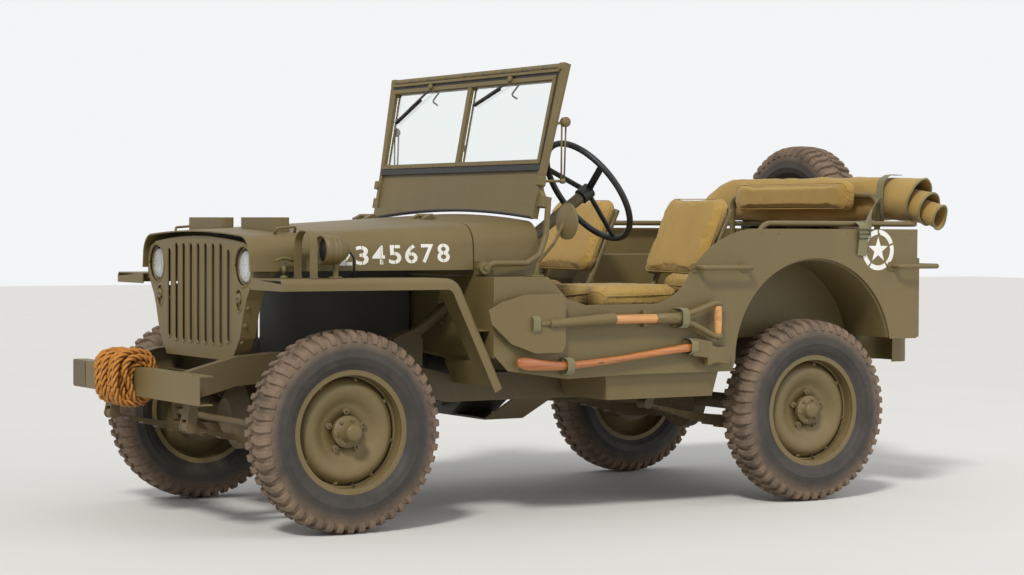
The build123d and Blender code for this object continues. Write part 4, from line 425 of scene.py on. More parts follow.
def woodMaterial(name, pale, dark, varnish=0.5):
    # ash handles: long grain along the car, with knots and a thin varnish
    material, n, shader = newMaterial(name)
    place3 = n.add("ShaderNodeTexCoord").outputs["Object"]
    grain = n.noise(place3, 95.0, 5.0, 0.65, (1.0, 0.045, 1.0))
    bands = n.noise(place3, 28.0, 3.0, 0.5, (1.0, 0.08, 1.0))
    spots = n.ramp(n.noise(place3, 30.0, 2.0, 0.5, (1.0, 0.5, 1.0)), 0.68, 0.76)
    figure = n.maths("ADD", n.maths("MULTIPLY", grain, 0.6), n.maths("MULTIPLY", bands, 0.4))
    body = n.mix(n.ramp(figure, 0.35, 0.66), dark, pale)
    n.join(n.mix(n.maths("MULTIPLY", spots, 0.75), body, colour(0.05, 0.02, 0.008)), shader["Base Color"])
    n.join(n.ramp(grain, 0.0, 1.0, 0.34, 0.5), shader["Roughness"])
    shader["Coat Weight"].default_value = varnish
    shader["Coat Roughness"].default_value = 0.18
    bumpNormal(n, shader, grain, 0.25, 0.0005)
    return material


def ropeMaterial():
    # golden hemp: fibres run along each strand, with shade painted in dark down between the strands from a
    # number written on the mesh
    material, n, shader = newMaterial("ropeHemp")
    route = n.add("ShaderNodeUVMap", uv_map="rope").outputs["UV"]
    fibres = n.noise(route, 30.0, 5.0, 0.7, (0.35, 14.0, 1.0))
    patches = n.noise(n.add("ShaderNodeTexCoord").outputs["Object"], 30.0, 4.0, 0.6)
    deep = n.add("ShaderNodeAttribute", attribute_name="deep").outputs["Fac"]
    body = n.mix(n.ramp(fibres, 0.35, 0.68), colour(0.42, 0.145, 0.014), colour(0.72, 0.33, 0.040))
    body = n.mix(n.maths("MULTIPLY", n.ramp(patches, 0.4, 0.75), 0.4), body, colour(0.50, 0.185, 0.025))
    # painted shade: the colour goes towards a dark brown down in the grooves between the strands
    n.join(n.mix(n.maths("MULTIPLY", deep, 0.8), body, colour(0.10, 0.028, 0.006)), shader["Base Color"])
    n.join(n.ramp(fibres, 0.0, 1.0, 0.55, 0.8), shader["Roughness"])
    shader["Sheen Weight"].default_value = 0.06
    bumpNormal(n, shader, fibres, 0.6, 0.0012)
    return material


def stencilMaterial():
    # white stencil paint, a little chipped and dusty
    material, n, shader = newMaterial("stencilWhite")
    place3 = n.add("ShaderNodeTexCoord").outputs["Object"]
    chips = n.ramp(n.noise(place3, 75.0, 5.0, 0.7), 0.66, 0.72)
    grime = n.ramp(n.noise(place3, 12.0, 5.0, 0.6), 0.4, 0.8)
    body = n.mix(n.maths("MULTIPLY", grime, 0.35), colour(0.80, 0.79, 0.74), colour(0.62, 0.58, 0.48))
    n.join(n.mix(chips, body, oliveDrab), shader["Base Color"])
    n.join(n.ramp(grime, 0.0, 1.0, 0.5, 0.7), shader["Roughness"])
    return material


def lampMaterials():
    chrome, n, shader = newMaterial("lampMirror")
    shader["Metallic"].default_value = 1.0
    place3 = n.add("ShaderNodeTexCoord").outputs["Object"]
    haze = n.noise(place3, 40.0, 3.0, 0.5)
    n.join(n.mix(haze, colour(0.82, 0.82, 0.80), colour(0.66, 0.66, 0.63)), shader["Base Color"])
    n.join(n.ramp(haze, 0.3, 0.8, 0.06, 0.2), shader["Roughness"])
    lens, n, shader = newMaterial("lampLens")
    shader["Base Color"].default_value = colour(0.96, 0.97, 0.96)
    shader["Transmission Weight"].default_value = 1.0
    shader["Roughness"].default_value = 0.05
    flutes = n.add("ShaderNodeTexWave", wave_type="BANDS", bands_direction="X")
    flutes.inputs["Scale"].default_value = 36.0
    n.join(n.add("ShaderNodeTexCoord").outputs["Object"], flutes.inputs["Vector"])
    bumpNormal(n, shader, flutes.outputs["Fac"], 0.5, 0.0012)
    return chrome, lens


finishes["rubber"] = rubberMaterial()
finishes["glass"] = glassMaterial()
finishes["seatCanvas"] = canvasMaterial("seatCanvas", colour(0.37, 0.225, 0.043), colour(0.46, 0.295, 0.075),
                                        colour(0.21, 0.140, 0.040))
finishes["webbing"] = canvasMaterial("webbing", colour(0.17, 0.155, 0.065), colour(0.24, 0.21, 0.10),
                                     colour(0.10, 0.085, 0.04), 0.0024, 0.7)
finishes["ashWood"] = woodMaterial("ashWood", colour(0.66, 0.34, 0.125), colour(0.46, 0.20, 0.06), 0.25)
finishes["varnishedWood"] = woodMaterial("varnishedWood", colour(0.56, 0.20, 0.035),
                                         colour(0.27, 0.075, 0.012), 0.6)
finishes["rope"] = ropeMaterial()
finishes["stencil"] = stencilMaterial()
finishes["chrome"], finishes["lens"] = lampMaterials()
olive, black = finishes["olivePaint"], finishes["blackEnamel"]
print("materials made:", len(finishes))

# The CAD nodes that stay, each with its finish
nodeFinish = {
    "blackEnamel": ("steering_wheel", "wipers"),
    "chassisPaint": ("frame", "front_axle", "rear_axle", "leaf_springs", "prop_shafts", "knuckle_left",
                     "knuckle_right", "tie_rod", "fuel_tank", "steering_column"),
    "engineGrey": ("engine", "gearbox"),
    "bareSteel": ("exhaust", "radiator"),
    "glass": ("windshield_glass",),
    "rubber": ("tyre_front_left", "tyre_front_right", "tyre_rear_left", "tyre_rear_right", "spare_tyre"),
    "seatCanvas": ("seat_cushions", "seat_backs", "canvas_roll"),
    "ashWood": ("tool_handles",),
    "rope": ("rope_hank",),
    "oliveWheel": ("wheel_front_left", "wheel_front_right", "wheel_rear_left", "wheel_rear_right",
                   "spare_wheel"),
}
finishOf = {node: finish for finish, nodes in nodeFinish.items() for node in nodes}
for name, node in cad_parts.items():
    material = finishes[finishOf.get(name, "olivePaint")]
    if node.material_slots:
        for slot in node.material_slots:
            slot.material = material
    else:
        node.data.materials.append(material)
print("frame nodes finished")


studio = {
    "floorSize": 60.0,
    "floorColour": colour(0.74, 0.73, 0.71),
    "skyColour": colour(0.90, 0.91, 0.92),
    "skyLight": 0.62,
    "sun": {"aim": (0.62, -0.66, 0.85), "strength": 2.1, "spread": 9.0},
    "fill": {"place": (5.0, 4.5, 3.2), "size": 6.0, "watts": 90.0},
}


def addStudio():
    half = studio["floorSize"] / 2
    corners = [(-half, -half, 0), (half, -half, 0), (half, half, 0), (-half, half, 0)]
    material, n, shader = newMaterial("paleFloor")
    place3 = n.add("ShaderNodeTexCoord").outputs["Object"]
    cloudy = n.noise(place3, 1.5, 3.0)
    n.join(n.mix(cloudy, studio["floorColour"], colour(0.70, 0.69, 0.67)), shader["Base Color"])
    shader["Roughness"].default_value = 0.85
    floor = meshPiece("floor", corners, [(0, 1, 2, 3)], material, smooth=False, turnOut=False)
    world = bpy.data.worlds.new("studio")
    bpy.context.scene.world = world
    world.use_nodes = True
    n = Nodes(world.node_tree)
    path = n.add("ShaderNodeLightPath")
    seen = n.maths("MAXIMUM", path.outputs["Is Camera Ray"], path.outputs["Is Glossy Ray"])
    shown = n.maths("MAXIMUM", seen, path.outputs["Is Transmission Ray"])
    background = world.node_tree.nodes["Background"]
    background.inputs["Color"].default_value = studio["skyColour"]
    strength = n.add("ShaderNodeMapRange")
    strength.inputs["To Min"].default_value = studio["skyLight"]
    strength.inputs["To Max"].default_value = 1.0
    n.join(shown, strength.inputs["Value"])
    n.join(strength.outputs["Result"], background.inputs["Strength"])
    sun = bpy.data.lights.new("keyLight", "SUN")
    sun.energy = studio["sun"]["strength"]
    sun.angle = math.radians(studio["sun"]["spread"])
    sun.color = (1.0, 0.97, 0.92)
    key = linkUp(bpy.data.objects.new("keyLight", sun))
    key.rotation_euler = Vector(studio["sun"]["aim"]).to_track_quat("Z", "Y").to_euler()
    lamp = bpy.data.lights.new("fillLight", "AREA")
    lamp.energy = studio["fill"]["watts"]
    lamp.size = studio["fill"]["size"]
    fill = linkUp(bpy.data.objects.new("fillLight", lamp))
    fill.location = studio["fill"]["place"]
    toCar = Vector((0, 0, 0.6)) - fill.location
    fill.rotation_euler = toCar.to_track_quat("-Z", "Y").to_euler()
    bpy.context.scene.view_settings.view_transform = "Standard"


addStudio()
print("studio lit")


# Tyres: a turned carcass, and bars of tread set round it left and right by a Geometry Nodes tree
tyreShape = {
    "rows": 50,  # bars on each side
    "barHalf": 0.0105,
    "barDepth": 0.0115,
    "steps": 96,
    # one bar across: how far over its half width, how deep below the tread's face
    "barSection": [(-1.28, 0.014375), (-1.0, 0.0022), (-0.82, 0.0), (0.82, 0.0), (1.0, 0.0022),
                   (1.28, 0.014375)],
    "barEnd": 0.35,  # how deep the foot stands at the bar's lower end
}


def nodeTree(name, inputs):
    tree = bpy.data.node_groups.new(name, "GeometryNodeTree")
    tree.interface.new_socket("Geometry", in_out="INPUT", socket_type="NodeSocketGeometry")
    for label, kind, value in inputs:
        socket = tree.interface.new_socket(label, in_out="INPUT", socket_type="NodeSocket" + kind)
        if value is not None:
            socket.default_value = value
    tree.interface.new_socket("Geometry", in_out="OUTPUT", socket_type="NodeSocketGeometry")
    start = tree.nodes.new("NodeGroupInput")
    end = tree.nodes.new("NodeGroupOutput")
    return Nodes(tree), start.outputs, end.inputs["Geometry"]


def runTree(obj, n, **values):
    # sets the inputs by their sockets' identifiers, bakes the result and drops the modifier
    modifier = obj.modifiers.new("nodes", "NODES")
    modifier.node_group = n.tree
    for item in n.tree.interface.items_tree:
        key = "".join(word.capitalize() for word in item.name.split())
        key = key[:1].lower() + key[1:]
        if item.in_out == "INPUT" and key in values:
            modifier[item.identifier] = values[key]
    return applyModifiers(obj)


def ringTree():
    # copies of a shape turned about the X axis, joined to the piece they stand on
    n, given, out = nodeTree("turnedRing", [("Shape", "Object", None), ("Count", "Int", 12),
                                            ("Offset", "Float", 0.0), ("Finish", "Material", None)])
    points = n.add("GeometryNodePoints")
    n.join(given["Count"], points.inputs["Count"])
    number = n.add("GeometryNodeInputIndex")
    step = n.maths("DIVIDE", 2 * math.pi, given["Count"])
    turn = n.maths("ADD", n.maths("MULTIPLY", number.outputs[0], step), given["Offset"])
    turned = n.add("ShaderNodeCombineXYZ")
    n.join(turn, turned.inputs["X"])
    shape = n.add("GeometryNodeObjectInfo")
    shape.inputs["As Instance"].default_value = True
    n.join(given["Shape"], shape.inputs["Object"])
    copies = n.add("GeometryNodeInstanceOnPoints")
    n.join(points.outputs[0], copies.inputs["Points"])
    n.join(shape.outputs["Geometry"], copies.inputs["Instance"])
    n.join(turned.outputs[0], copies.inputs["Rotation"])
    joined = n.add("GeometryNodeJoinGeometry")
    n.join(copies.outputs[0], joined.inputs[0])
    n.join(given["Geometry"], joined.inputs[0])
    real = n.add("GeometryNodeRealizeInstances")
    n.join(joined.outputs[0], real.inputs[0])
    finish = n.add("GeometryNodeSetMaterial")
    n.join(real.outputs[0], finish.inputs["Geometry"])
    n.join(given["Finish"], finish.inputs["Material"])
    n.join(finish.outputs[0], out)
    return n


turnedRing = ringTree()


def turnedShell(name, profile, steps, material=None):
    # profile points (x, radius) turned about the X axis and closed
    verts, faces = [], []
    for step in range(steps):
        angle = 2 * math.pi * step / steps
        for x, radius in profile:
            verts.append((x, radius * math.sin(angle), radius * math.cos(angle)))
    size = len(profile)
    for step in range(steps):
        for i in range(size):
            a, b = step * size + i, step * size + (i + 1) % size
            c, d = (b + size) % len(verts), (a + size) % len(verts)
            faces.append((a, b, c, d))
    return meshPiece(name, verts, faces, material)


def writeShade(obj, name, rule):
    # a number on each point, for the material to read
    layer = obj.data.attributes.new(name, "FLOAT", "POINT")
    for point, value in zip(obj.data.vertices, layer.data):
        value.value = rule(point.co)


def tyreCarcass():
    base = tyreRadius - tyreShape["barDepth"]
    half = [
        # x and radius, from the middle of the tread round the sidewall to the bead and inside
        (0.0, base), (0.030, base - 0.001), (0.056, base - 0.004), (0.068, base - 0.012),
        (0.074, base - 0.026),
        (0.0770, base - 0.046), (0.0785, base - 0.049), (0.0788, base - 0.053), (0.0795, base - 0.060),
        (0.0805, base - 0.078), (0.0812, base - 0.080), (0.0812, base - 0.083), (0.0798, base - 0.085),
        (0.0770, base - 0.098), (0.0715, base - 0.112), (0.0700, base - 0.113), (0.0690, base - 0.118),
        (0.0625, base - 0.124), (0.0600, 0.2055), (0.050, 0.2045), (0.050, 0.222), (0.062, 0.252),
        (0.060, 0.300),
        (0.045, base - 0.022), (0.0, base - 0.016),
    ]
    loop = half + [(-x, r) for x, r in reversed(half[1:-1])]
    return turnedShell("carcass", loop, tyreShape["steps"])


def treadBar(side):
    # one bar: from near the middle of the tread over the shoulder and down the sidewall
    radius, width, section = tyreRadius, tyreShape["barHalf"], tyreShape["barSection"]
    spine = [
        # x, outer radius, share of the half width, how far round the tyre it leans
        (0.004, radius, 0.82, 0.010), (0.020, radius - 0.0003, 0.95, 0.004),
        (0.034, radius - 0.001, 1.0, 0.0), (0.058, radius - 0.0045, 1.05, 0.0),
        (0.0695, radius - 0.0105, 1.05, 0.001), (0.0762, radius - 0.024, 1.0, 0.002),
        (0.0788, radius - 0.040, 0.9, 0.003),
    ]
    verts, faces = [], []
    for index, (x, outer, wide, lean) in enumerate(spine):
        after = spine[min(index + 1, len(spine) - 1)]
        before = spine[max(index - 1, 0)]
        along = Vector((after[0] - before[0], 0, after[1] - before[1])).normalized()
        inward = Vector((along.z, 0, -along.x))
        top = Vector((x, 0, outer))
        fade = tyreShape["barEnd"] if index == len(spine) - 1 else 1.0
        for share, drop in section:
            point = top + inward * (drop * fade if drop > 0.003 else drop)
            around = (share * width * wide + lean) / outer
            verts.append((side * point.x, point.z * math.sin(around), point.z * math.cos(around)))
    for index in range(len(spine) - 1):
        for j in range(5):
            a = index * 6 + j
            faces.append((a, a + 1, a + 7, a + 6))
    last = (len(spine) - 1) * 6
    faces.append(tuple(range(5, -1, -1)))
    faces.append(tuple(last + j for j in range(6)))
    return meshPiece("treadBar", verts, faces, None, smooth=False)


def dustAt(co):
    # full on the tread, fading down the sidewall
    return min(1.0, max(0.06, (math.hypot(co.y, co.z) - tyreRadius + 0.075) / 0.045))


def makeTyre():
    # one tyre about the X axis at the origin, for copying to each wheel
    carcass = tyreCarcass()
    step = 2 * math.pi / tyreShape["rows"]
    for side, offset in ((1, 0.0), (-1, step / 2)):
        bar = treadBar(side)
        carcass = runTree(carcass, turnedRing, shape=bar, count=tyreShape["rows"], offset=offset,
                          finish=finishes["rubber"])
        bpy.data.objects.remove(bar)
    writeShade(carcass, "dusty", dustAt)
    return carcass


def copyTo(source, name, turn, centre):
    mesh = source.data.copy()
    mesh.transform(Matrix.Translation(centre) @ turn)
    mesh.name = name
    return linkUp(bpy.data.objects.new(name, mesh))


tyrePattern = makeTyre()
wheelTable = [
    # tyre node, body, turn about the upright axis, how far the tread is rolled round
    ("tyre_front_left", "wheel_front_left", 0, 7), ("tyre_front_right", "wheel_front_right", 180, 31),
    ("tyre_rear_left", "wheel_rear_left", 0, 52), ("tyre_rear_right", "wheel_rear_right", 180, 14),
    ("spare_tyre", "chassis", 90, 0),
]
for node, body, facing, rolled in wheelTable:
    turn = Matrix.Rotation(math.radians(facing), 4, "Z") @ Matrix.Rotation(math.radians(rolled), 4, "X")
    tyre = copyTo(tyrePattern, node + "_tread", turn, middle(node))
    handOver(tyre, body, "tyre", node)
bpy.data.objects.remove(tyrePattern)
print("tyres made")
# Shapes shared by the pieces below: pipes, plates, boxes, studs and marks laid on a surface
def roundCorners(points, radius, steps=6):
    # a path whose inner corners are replaced by arcs
    path = [points[0]]
    for before, corner, after in zip(points, points[1:], points[2:]):
        back, on = (before - corner), (after - corner)
        reach = min(radius, back.length * 0.48, on.length * 0.48)
        start, end = corner + back.normalized() * reach, corner + on.normalized() * reach
        for i in range(steps + 1):
            t = i / steps
            path.append(start * (1 - t) ** 2 + corner * 2 * t * (1 - t) + end * t * t)
    return path + [points[-1]]


def framesAlong(path, closed=False):
    # tangent and a steady side direction at each point of a path
    count = len(path)
    tangents = []
    for i in range(count):
        after = path[(i + 1) % count] if closed else path[min(i + 1, count - 1)]
        before = path[i - 1] if closed or i else path[0]
        tangents.append((after - before).normalized())
    side = tangents[0].cross(Vector((0, 0, 1)))
    if side.length < 0.05:
        side = tangents[0].cross(Vector((1, 0, 0)))
    frames = []
    for tangent in tangents:
        side = (side - tangent * side.dot(tangent)).normalized()
        frames.append((tangent, side, tangent.cross(side)))
    return frames


def pipe(name, path, radius, material=None, sides=12, closed=False, flat=1.0):
    # a tube along a path, its ends closed; flat squeezes it across
    frames = framesAlong(path, closed)
    verts, faces = [], []
    for point, (_, side, up) in zip(path, frames):
        for k in range(sides):
            angle = 2 * math.pi * k / sides
            verts.append(point + (side * math.cos(angle) + up * math.sin(angle) * flat) * radius)
    rings = len(path)
    for i in range(rings if closed else rings - 1):
        for k in range(sides):
            a, b = i * sides + k, i * sides + (k + 1) % sides
            faces.append((a, b, (b + sides) % (rings * sides), (a + sides) % (rings * sides)))
    if not closed:
        faces.append(tuple(range(sides - 1, -1, -1)))
        faces.append(tuple((rings - 1) * sides + k for k in range(sides)))
    return meshPiece(name, verts, faces, material)


def bevelled(obj, width, segments=2, angle=40):
    if width:
        bevel = obj.modifiers.new("bevel", "BEVEL")
        bevel.width = width
        bevel.segments = segments
        bevel.limit_method = "ANGLE"
        bevel.angle_limit = math.radians(angle)
        obj = applyModifiers(obj)
    return obj


def slab(name, outline, depth, centre, across, up, material=None, bevel=0.0015):
    # a plate cut to an outline in metres and raised by depth along across x up
    across, up = Vector(across).normalized(), Vector(up).normalized()
    out = across.cross(up)
    centre = Vector(centre)
    count = len(outline)
    verts = [centre + across * u + up * v for u, v in outline]
    verts += [v + out * depth for v in verts]
    faces = [tuple(range(count - 1, -1, -1)), tuple(range(count, 2 * count))]
    faces += [(i, (i + 1) % count, (i + 1) % count + count, i + count) for i in range(count)]
    return bevelled(meshPiece(name, verts, faces, material, smooth=False), bevel)


def turned(name, profile, centre, axis, material=None, steps=24):
    # profile points (distance along the axis, radius) turned about it and closed
    axis = Vector(axis).normalized()
    side = axis.cross(Vector((0, 0, 1)))
    if side.length < 0.05:
        side = axis.cross(Vector((1, 0, 0)))
    side.normalize()
    up = axis.cross(side)
    centre = Vector(centre)
    verts, faces = [], []
    for step in range(steps):
        angle = 2 * math.pi * step / steps
        outward = side * math.cos(angle) + up * math.sin(angle)
        for along, radius in profile:
            verts.append(centre + axis * along + outward * radius)
    size = len(profile)
    for step in range(steps):
        for i in range(size - 1):
            a, b = step * size + i, step * size + i + 1
            faces.append((a, b, (b + size) % len(verts), (a + size) % len(verts)))
    return meshPiece(name, verts, faces, material)


def studTree():
    # copies of a shape on loose points, each turned so that its Z follows the point's "facing"
    n, given, out = nodeTree("studs", [("Shape", "Object", None), ("Finish", "Material", None)])
    facing = n.add("GeometryNodeInputNamedAttribute", data_type="FLOAT_VECTOR")
    facing.inputs["Name"].default_value = "facing"
    turn = n.add("FunctionNodeAlignRotationToVector", axis="Z")
    n.join(facing.outputs["Attribute"], turn.inputs["Vector"])
    shape = n.add("GeometryNodeObjectInfo")
    shape.inputs["As Instance"].default_value = True
    n.join(given["Shape"], shape.inputs["Object"])
    copies = n.add("GeometryNodeInstanceOnPoints")
    n.join(given["Geometry"], copies.inputs["Points"])
    n.join(shape.outputs["Geometry"], copies.inputs["Instance"])
    n.join(turn.outputs[0], copies.inputs["Rotation"])
    real = n.add("GeometryNodeRealizeInstances")
    n.join(copies.outputs[0], real.inputs[0])
    finish = n.add("GeometryNodeSetMaterial")
    n.join(real.outputs[0], finish.inputs["Geometry"])
    n.join(given["Finish"], finish.inputs["Material"])
    n.join(finish.outputs[0], out)
    return n


studsOnPoints = studTree()


def studShape(kind, radius, height):
    # a domed rivet, or a hexagonal bolt head on its washer
    if kind == "rivet":
        profile = [(-0.001, radius), (0.0, radius), (height * 0.55, radius * 0.82),
                   (height * 0.9, radius * 0.45), (height, 0.0)]
        return turned("rivet", profile, (0, 0, 0), (0, 0, 1), steps=12)
    washer = turned("washer", [(-0.001, radius * 1.35), (height * 0.18, radius * 1.35), (height * 0.18, 0.0)],
                    (0, 0, 0), (0, 0, 1), steps=16)
    outline = [(radius * math.cos(math.pi * k / 3), radius * math.sin(math.pi * k / 3)) for k in range(6)]
    head = slab("head", outline, height, (0, 0, 0), (1, 0, 0), (0, 1, 0), None, height * 0.16)
    return joinPieces("bolt", [washer, head])


def studs(name, kind, radius, height, places, material):
    # places: (point, the way it faces)
    mesh = bpy.data.meshes.new(name)
    mesh.from_pydata([tuple(point) for point, _ in places], [], [])
    layer = mesh.attributes.new("facing", "FLOAT_VECTOR", "POINT")
    for value, (_, way) in zip(layer.data, places):
        value.vector = Vector(way).normalized()
    points = linkUp(bpy.data.objects.new(name, mesh))
    shape = studShape(kind, radius, height)
    made = runTree(points, studsOnPoints, shape=shape, finish=material)
    bpy.data.objects.remove(shape)
    for face in made.data.polygons:
        face.use_smooth = kind == "rivet"
    return made


def layOn(obj, node, way, lift):
    # each point is thrown along way on the node's surface and stands off it by lift
    way = Vector(way).normalized()
    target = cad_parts[node]
    for vert in obj.data.vertices:
        hit, where, _, _ = target.ray_cast(vert.co - way * 0.3, way)
        if hit:
            vert.co = where - way * lift
    return obj
# Wheels: a rounded cover on each pressed disc, a rolled rim, rim bolts, and a bolted cap on the hub
wheelTrim = {
    "discCurve": [  # how far outboard, radius
        (0.0050, 0.1885), (0.0185, 0.1790), (0.0245, 0.1745), (0.0325, 0.1665), (0.0368, 0.1570),
        (0.0378, 0.1480), (0.0358, 0.1360), (0.0318, 0.1235), (0.0228, 0.1095), (0.0152, 0.0995),
        (0.0118, 0.0880), (0.0112, 0.0500), (0.0060, 0.0500), (0.0030, 0.1885), (0.0050, 0.1885),
    ],
    "rings": [  # how far outboard, radius, half thickness, sides
        ("lip", 0.0585, 0.2222, 0.0046, 12), ("step", 0.0430, 0.2010, 0.0040, 10),
        ("well", 0.0100, 0.1950, 0.0060, 10),
    ],
    "flange": [(0.0330, 0.0), (0.0330, 0.0568), (0.0352, 0.0560), (0.0356, 0.0)],
    "hubReach": {"front": 0.091, "rear": 0.060},
    "valve": [(0.016, 0.02, -0.178), (0.040, 0.021, -0.190)],
}
boltRings = {
    # how far outboard, ring radius, count, first angle, head, head radius and height, finish
    "rimBolts": (0.0115, 0.182, 8, 12, "rivet", 0.0095, 0.0100, "oliveWheel"),
    "hubBolts": (0.0350, 0.0445, 6, 20, "bolt", 0.0062, 0.0070, "oliveWheel"),
    "studTips": (0.0235, 0.070, 5, 0, "rivet", 0.0052, 0.0070, "bareSteel"),
}


def ringPoints(out, radius, count, first=0.0):
    turns = [2 * math.pi * i / count + math.radians(first) for i in range(count)]
    return [Vector((out, radius * math.sin(t), radius * math.cos(t))) for t in turns]


def boltRing(name):
    out, radius, count, first, kind, head, height, finish = boltRings[name]
    places = [(point, (1, 0, 0)) for point in ringPoints(out, radius, count, first)]
    return studs(name, kind, head, height, places, finishes[finish])


def makeWheelTrim(name, reach):
    # one wheel's trim about the X axis at the origin; a wheel with no reach has no hub
    paint = finishes["oliveWheel"]
    parts = [turned("disc", wheelTrim["discCurve"], (0, 0, 0), (1, 0, 0), paint, 72)]
    for ring, out, radius, half, sides in wheelTrim["rings"]:
        parts.append(pipe(ring, ringPoints(out, radius, 72), half, paint, sides, closed=True))
    parts.append(boltRing("rimBolts"))
    parts.append(pipe("valve", [Vector(point) for point in wheelTrim["valve"]], 0.0038, black, 8))
    if reach:
        cap = [(0.0335, 0), (0.0335, 0.0345), (0.0370, 0.0345), (0.0380, 0.0320), (reach - 0.012, 0.0313),
               (reach - 0.0035, 0.0288), (reach + 0.0006, 0.0225), (reach + 0.0016, 0.0)]
        parts.append(turned("cap", cap, (0, 0, 0), (1, 0, 0), paint, 32))
        parts.append(turned("flange", wheelTrim["flange"], (0, 0, 0), (1, 0, 0), paint, 48))
        parts += [boltRing("hubBolts"), boltRing("studTips")]
    return joinPieces(name, parts)


for node, body, facing, _ in wheelTable:
    reach = wheelTrim["hubReach"].get(node.split("_")[1], 0.0)
    pattern = makeWheelTrim("pattern", reach)
    turn = Matrix.Rotation(math.radians(facing), 4, "Z")
    trimmed = copyTo(pattern, node.replace("tyre", "wheel") + "_trim", turn, middle(node))
    bpy.data.objects.remove(pattern)
    handOver(trimmed, body, "painted")
print("wheels trimmed")


# Rope: one laid rope of three strands wound round the bumper in three layers, each turn a little uneven
ropeShape = {
    "radius": 0.0138,
    "strand": 0.0069,
    "lay": 0.088,
    "step": 0.0075,
    "sides": 8,
    "layers": [
        # station and height of the layer's middle, its half depth and half height, first and last x, turns
        (-502, 509, 42, 66, -203, 24, 9),
        (-512, 515, 60, 80, 22, -204, 9),
        (-520, 520, 76, 92, -196, -78, 5),
        (-522, 521, 78, 94, -52, 18, 3),
    ],
}


def ropeRoute():
    route = []
    for layer, (at, z, halfDepth, halfHeight, start, end, turns) in enumerate(ropeShape["layers"]):
        steps = turns * 40
        for i in range(steps + 1):
            share = i / steps
            turn = 2 * math.pi * share * turns + (math.pi if layer == 3 else 0)
            uneven = 1 + 0.030 * math.sin(turn * 0.37 + layer * 2.1) + 0.018 * math.sin(turn * 1.31 + layer)
            sway = 5.0 * math.sin(turn * 0.53 + 1.7 * layer)
            lean = 15.0 * math.cos(turn) if layer > 1 else 6.0 * math.cos(turn)
            squareCos = math.copysign(abs(math.cos(turn)) ** 0.72, math.cos(turn))
            squareSin = math.copysign(abs(math.sin(turn)) ** 0.72, math.sin(turn))
            bulge = 1 + (0.10 * math.sin(math.pi * share) if layer > 1 else 0)
            x = start + (end - start) * share + sway + lean
            route.append(place(x, at - halfDepth * squareCos * uneven * (bulge if squareCos > 0 else 1),
                               z + halfHeight * squareSin * uneven))
    smooth = [route[0]]
    for point in route[1:]:
        if (point - smooth[-1]).length > ropeShape["step"]:
            smooth.append(point)
    return smooth


def makeRope():
    route = ropeRoute()
    for _ in range(3):
        inner = [(a + b * 2 + c) / 4 for a, b, c in zip(route, route[1:], route[2:])]
        route = [route[0]] + inner + [route[-1]]
    frames = framesAlong(route)
    travelled = [0.0]
    for a, b in zip(route, route[1:]):
        travelled.append(travelled[-1] + (b - a).length)
    verts, faces, marks, strandShades = [], [], [], []
    sides, core = ropeShape["sides"], ropeShape["radius"] - ropeShape["strand"]
    for strand in range(3):
        first = len(verts)
        for point, (tangent, side, up), gone in zip(route, frames, travelled):
            twist = 2 * math.pi * (gone / ropeShape["lay"] + strand / 3)
            outward = side * math.cos(twist) + up * math.sin(twist)
            around = tangent.cross(outward)
            centre = point + outward * core
            for k in range(sides):
                angle = 2 * math.pi * k / sides
                rim = outward * math.cos(angle) + around * math.sin(angle)
                verts.append(centre + rim * ropeShape["strand"])
                marks.append((gone, k / sides))
                # painted shade: each strand is darker on its side towards the rope's core, down in the
                # grooves
                strandShades.append(max(0.0, 0.55 - math.cos(angle) * 0.85))
        for i in range(len(route) - 1):
            for k in range(sides):
                a, b = first + i * sides + k, first + i * sides + (k + 1) % sides
                faces.append((a, b, b + sides, a + sides))
        faces.append(tuple(first + k for k in range(sides - 1, -1, -1)))
        faces.append(tuple(len(verts) - sides + k for k in range(sides)))
    rope = meshPiece("rope_strands", verts, faces, finishes["rope"], turnOut=False)
    layer = rope.data.uv_layers.new(name="rope")
    for loop in rope.data.loops:
        layer.data[loop.index].uv = marks[loop.vertex_index]
    deep = rope.data.attributes.new("deep", "FLOAT", "POINT")
    for value, amount in zip(deep.data, strandShades):
        value.value = amount
    return rope


handOver(makeRope(), "chassis", "rope", "rope_hank")
print("rope wound")


# Seats: canvas pads swelled by cloth simulation, then seams and puckers
padTable = [
    # name, node, station and height of the middle, x, half width, half length, half thickness, lean,
    # corner, cap
    ("driver_cushion", "seat_cushions", 1250, 803, 420, 205, 215, 43, 0.0, 0.050, 0.016),
    ("passenger_cushion", "seat_cushions", 1250, 803, -385, 230, 215, 43, 0.0, 0.050, 0.016),
    ("rear_cushion", "seat_cushions", 2230, 825, 0, 400, 200, 43, 0.0, 0.050, 0.018),
    ("driver_back", "seat_backs", 1606, 1032, 420, 205, 175, 28, 65.5, 0.052, 0.014),
    ("passenger_back", "seat_backs", 1606, 1032, -385, 230, 175, 28, 65.5, 0.052, 0.014),
    ("rear_back", "seat_backs", 2466, 1200, 0, 400, 71, 30, 90.0, 0.050, 0.014),
]
padCloth = {
    "pressure": 4.0,
    "quality": 4,
    "tension": 18,
    "compression": 12,
    "bending": 0.4,
    "frames": 20,
    "slack": 0.72,  # share of the cap that the unswelled pad leaves free
    "inset": 0.007,
    "roundness": 0.014,
    "voxel": 0.0065,
    "quickVoxel": 0.0075,
    "seamInset": 0.019,
    "seamReach": 0.3,
    "seamCorner": 0.045,
    "seamRadius": 0.0019,
    "seamGap": 0.004,
}


def roundedOutline(halfWidth, halfLength, corner, steps=7):
    outline = []
    for cx, cy, start in ((1, 1, 0), (-1, 1, 90), (-1, -1, 180), (1, -1, 270)):
        for i in range(steps + 1):
            angle = math.radians(start + 90 * i / steps)
            outline.append((cx * (halfWidth - corner) + corner * math.cos(angle),
                            cy * (halfLength - corner) + corner * math.sin(angle)))
    return outline


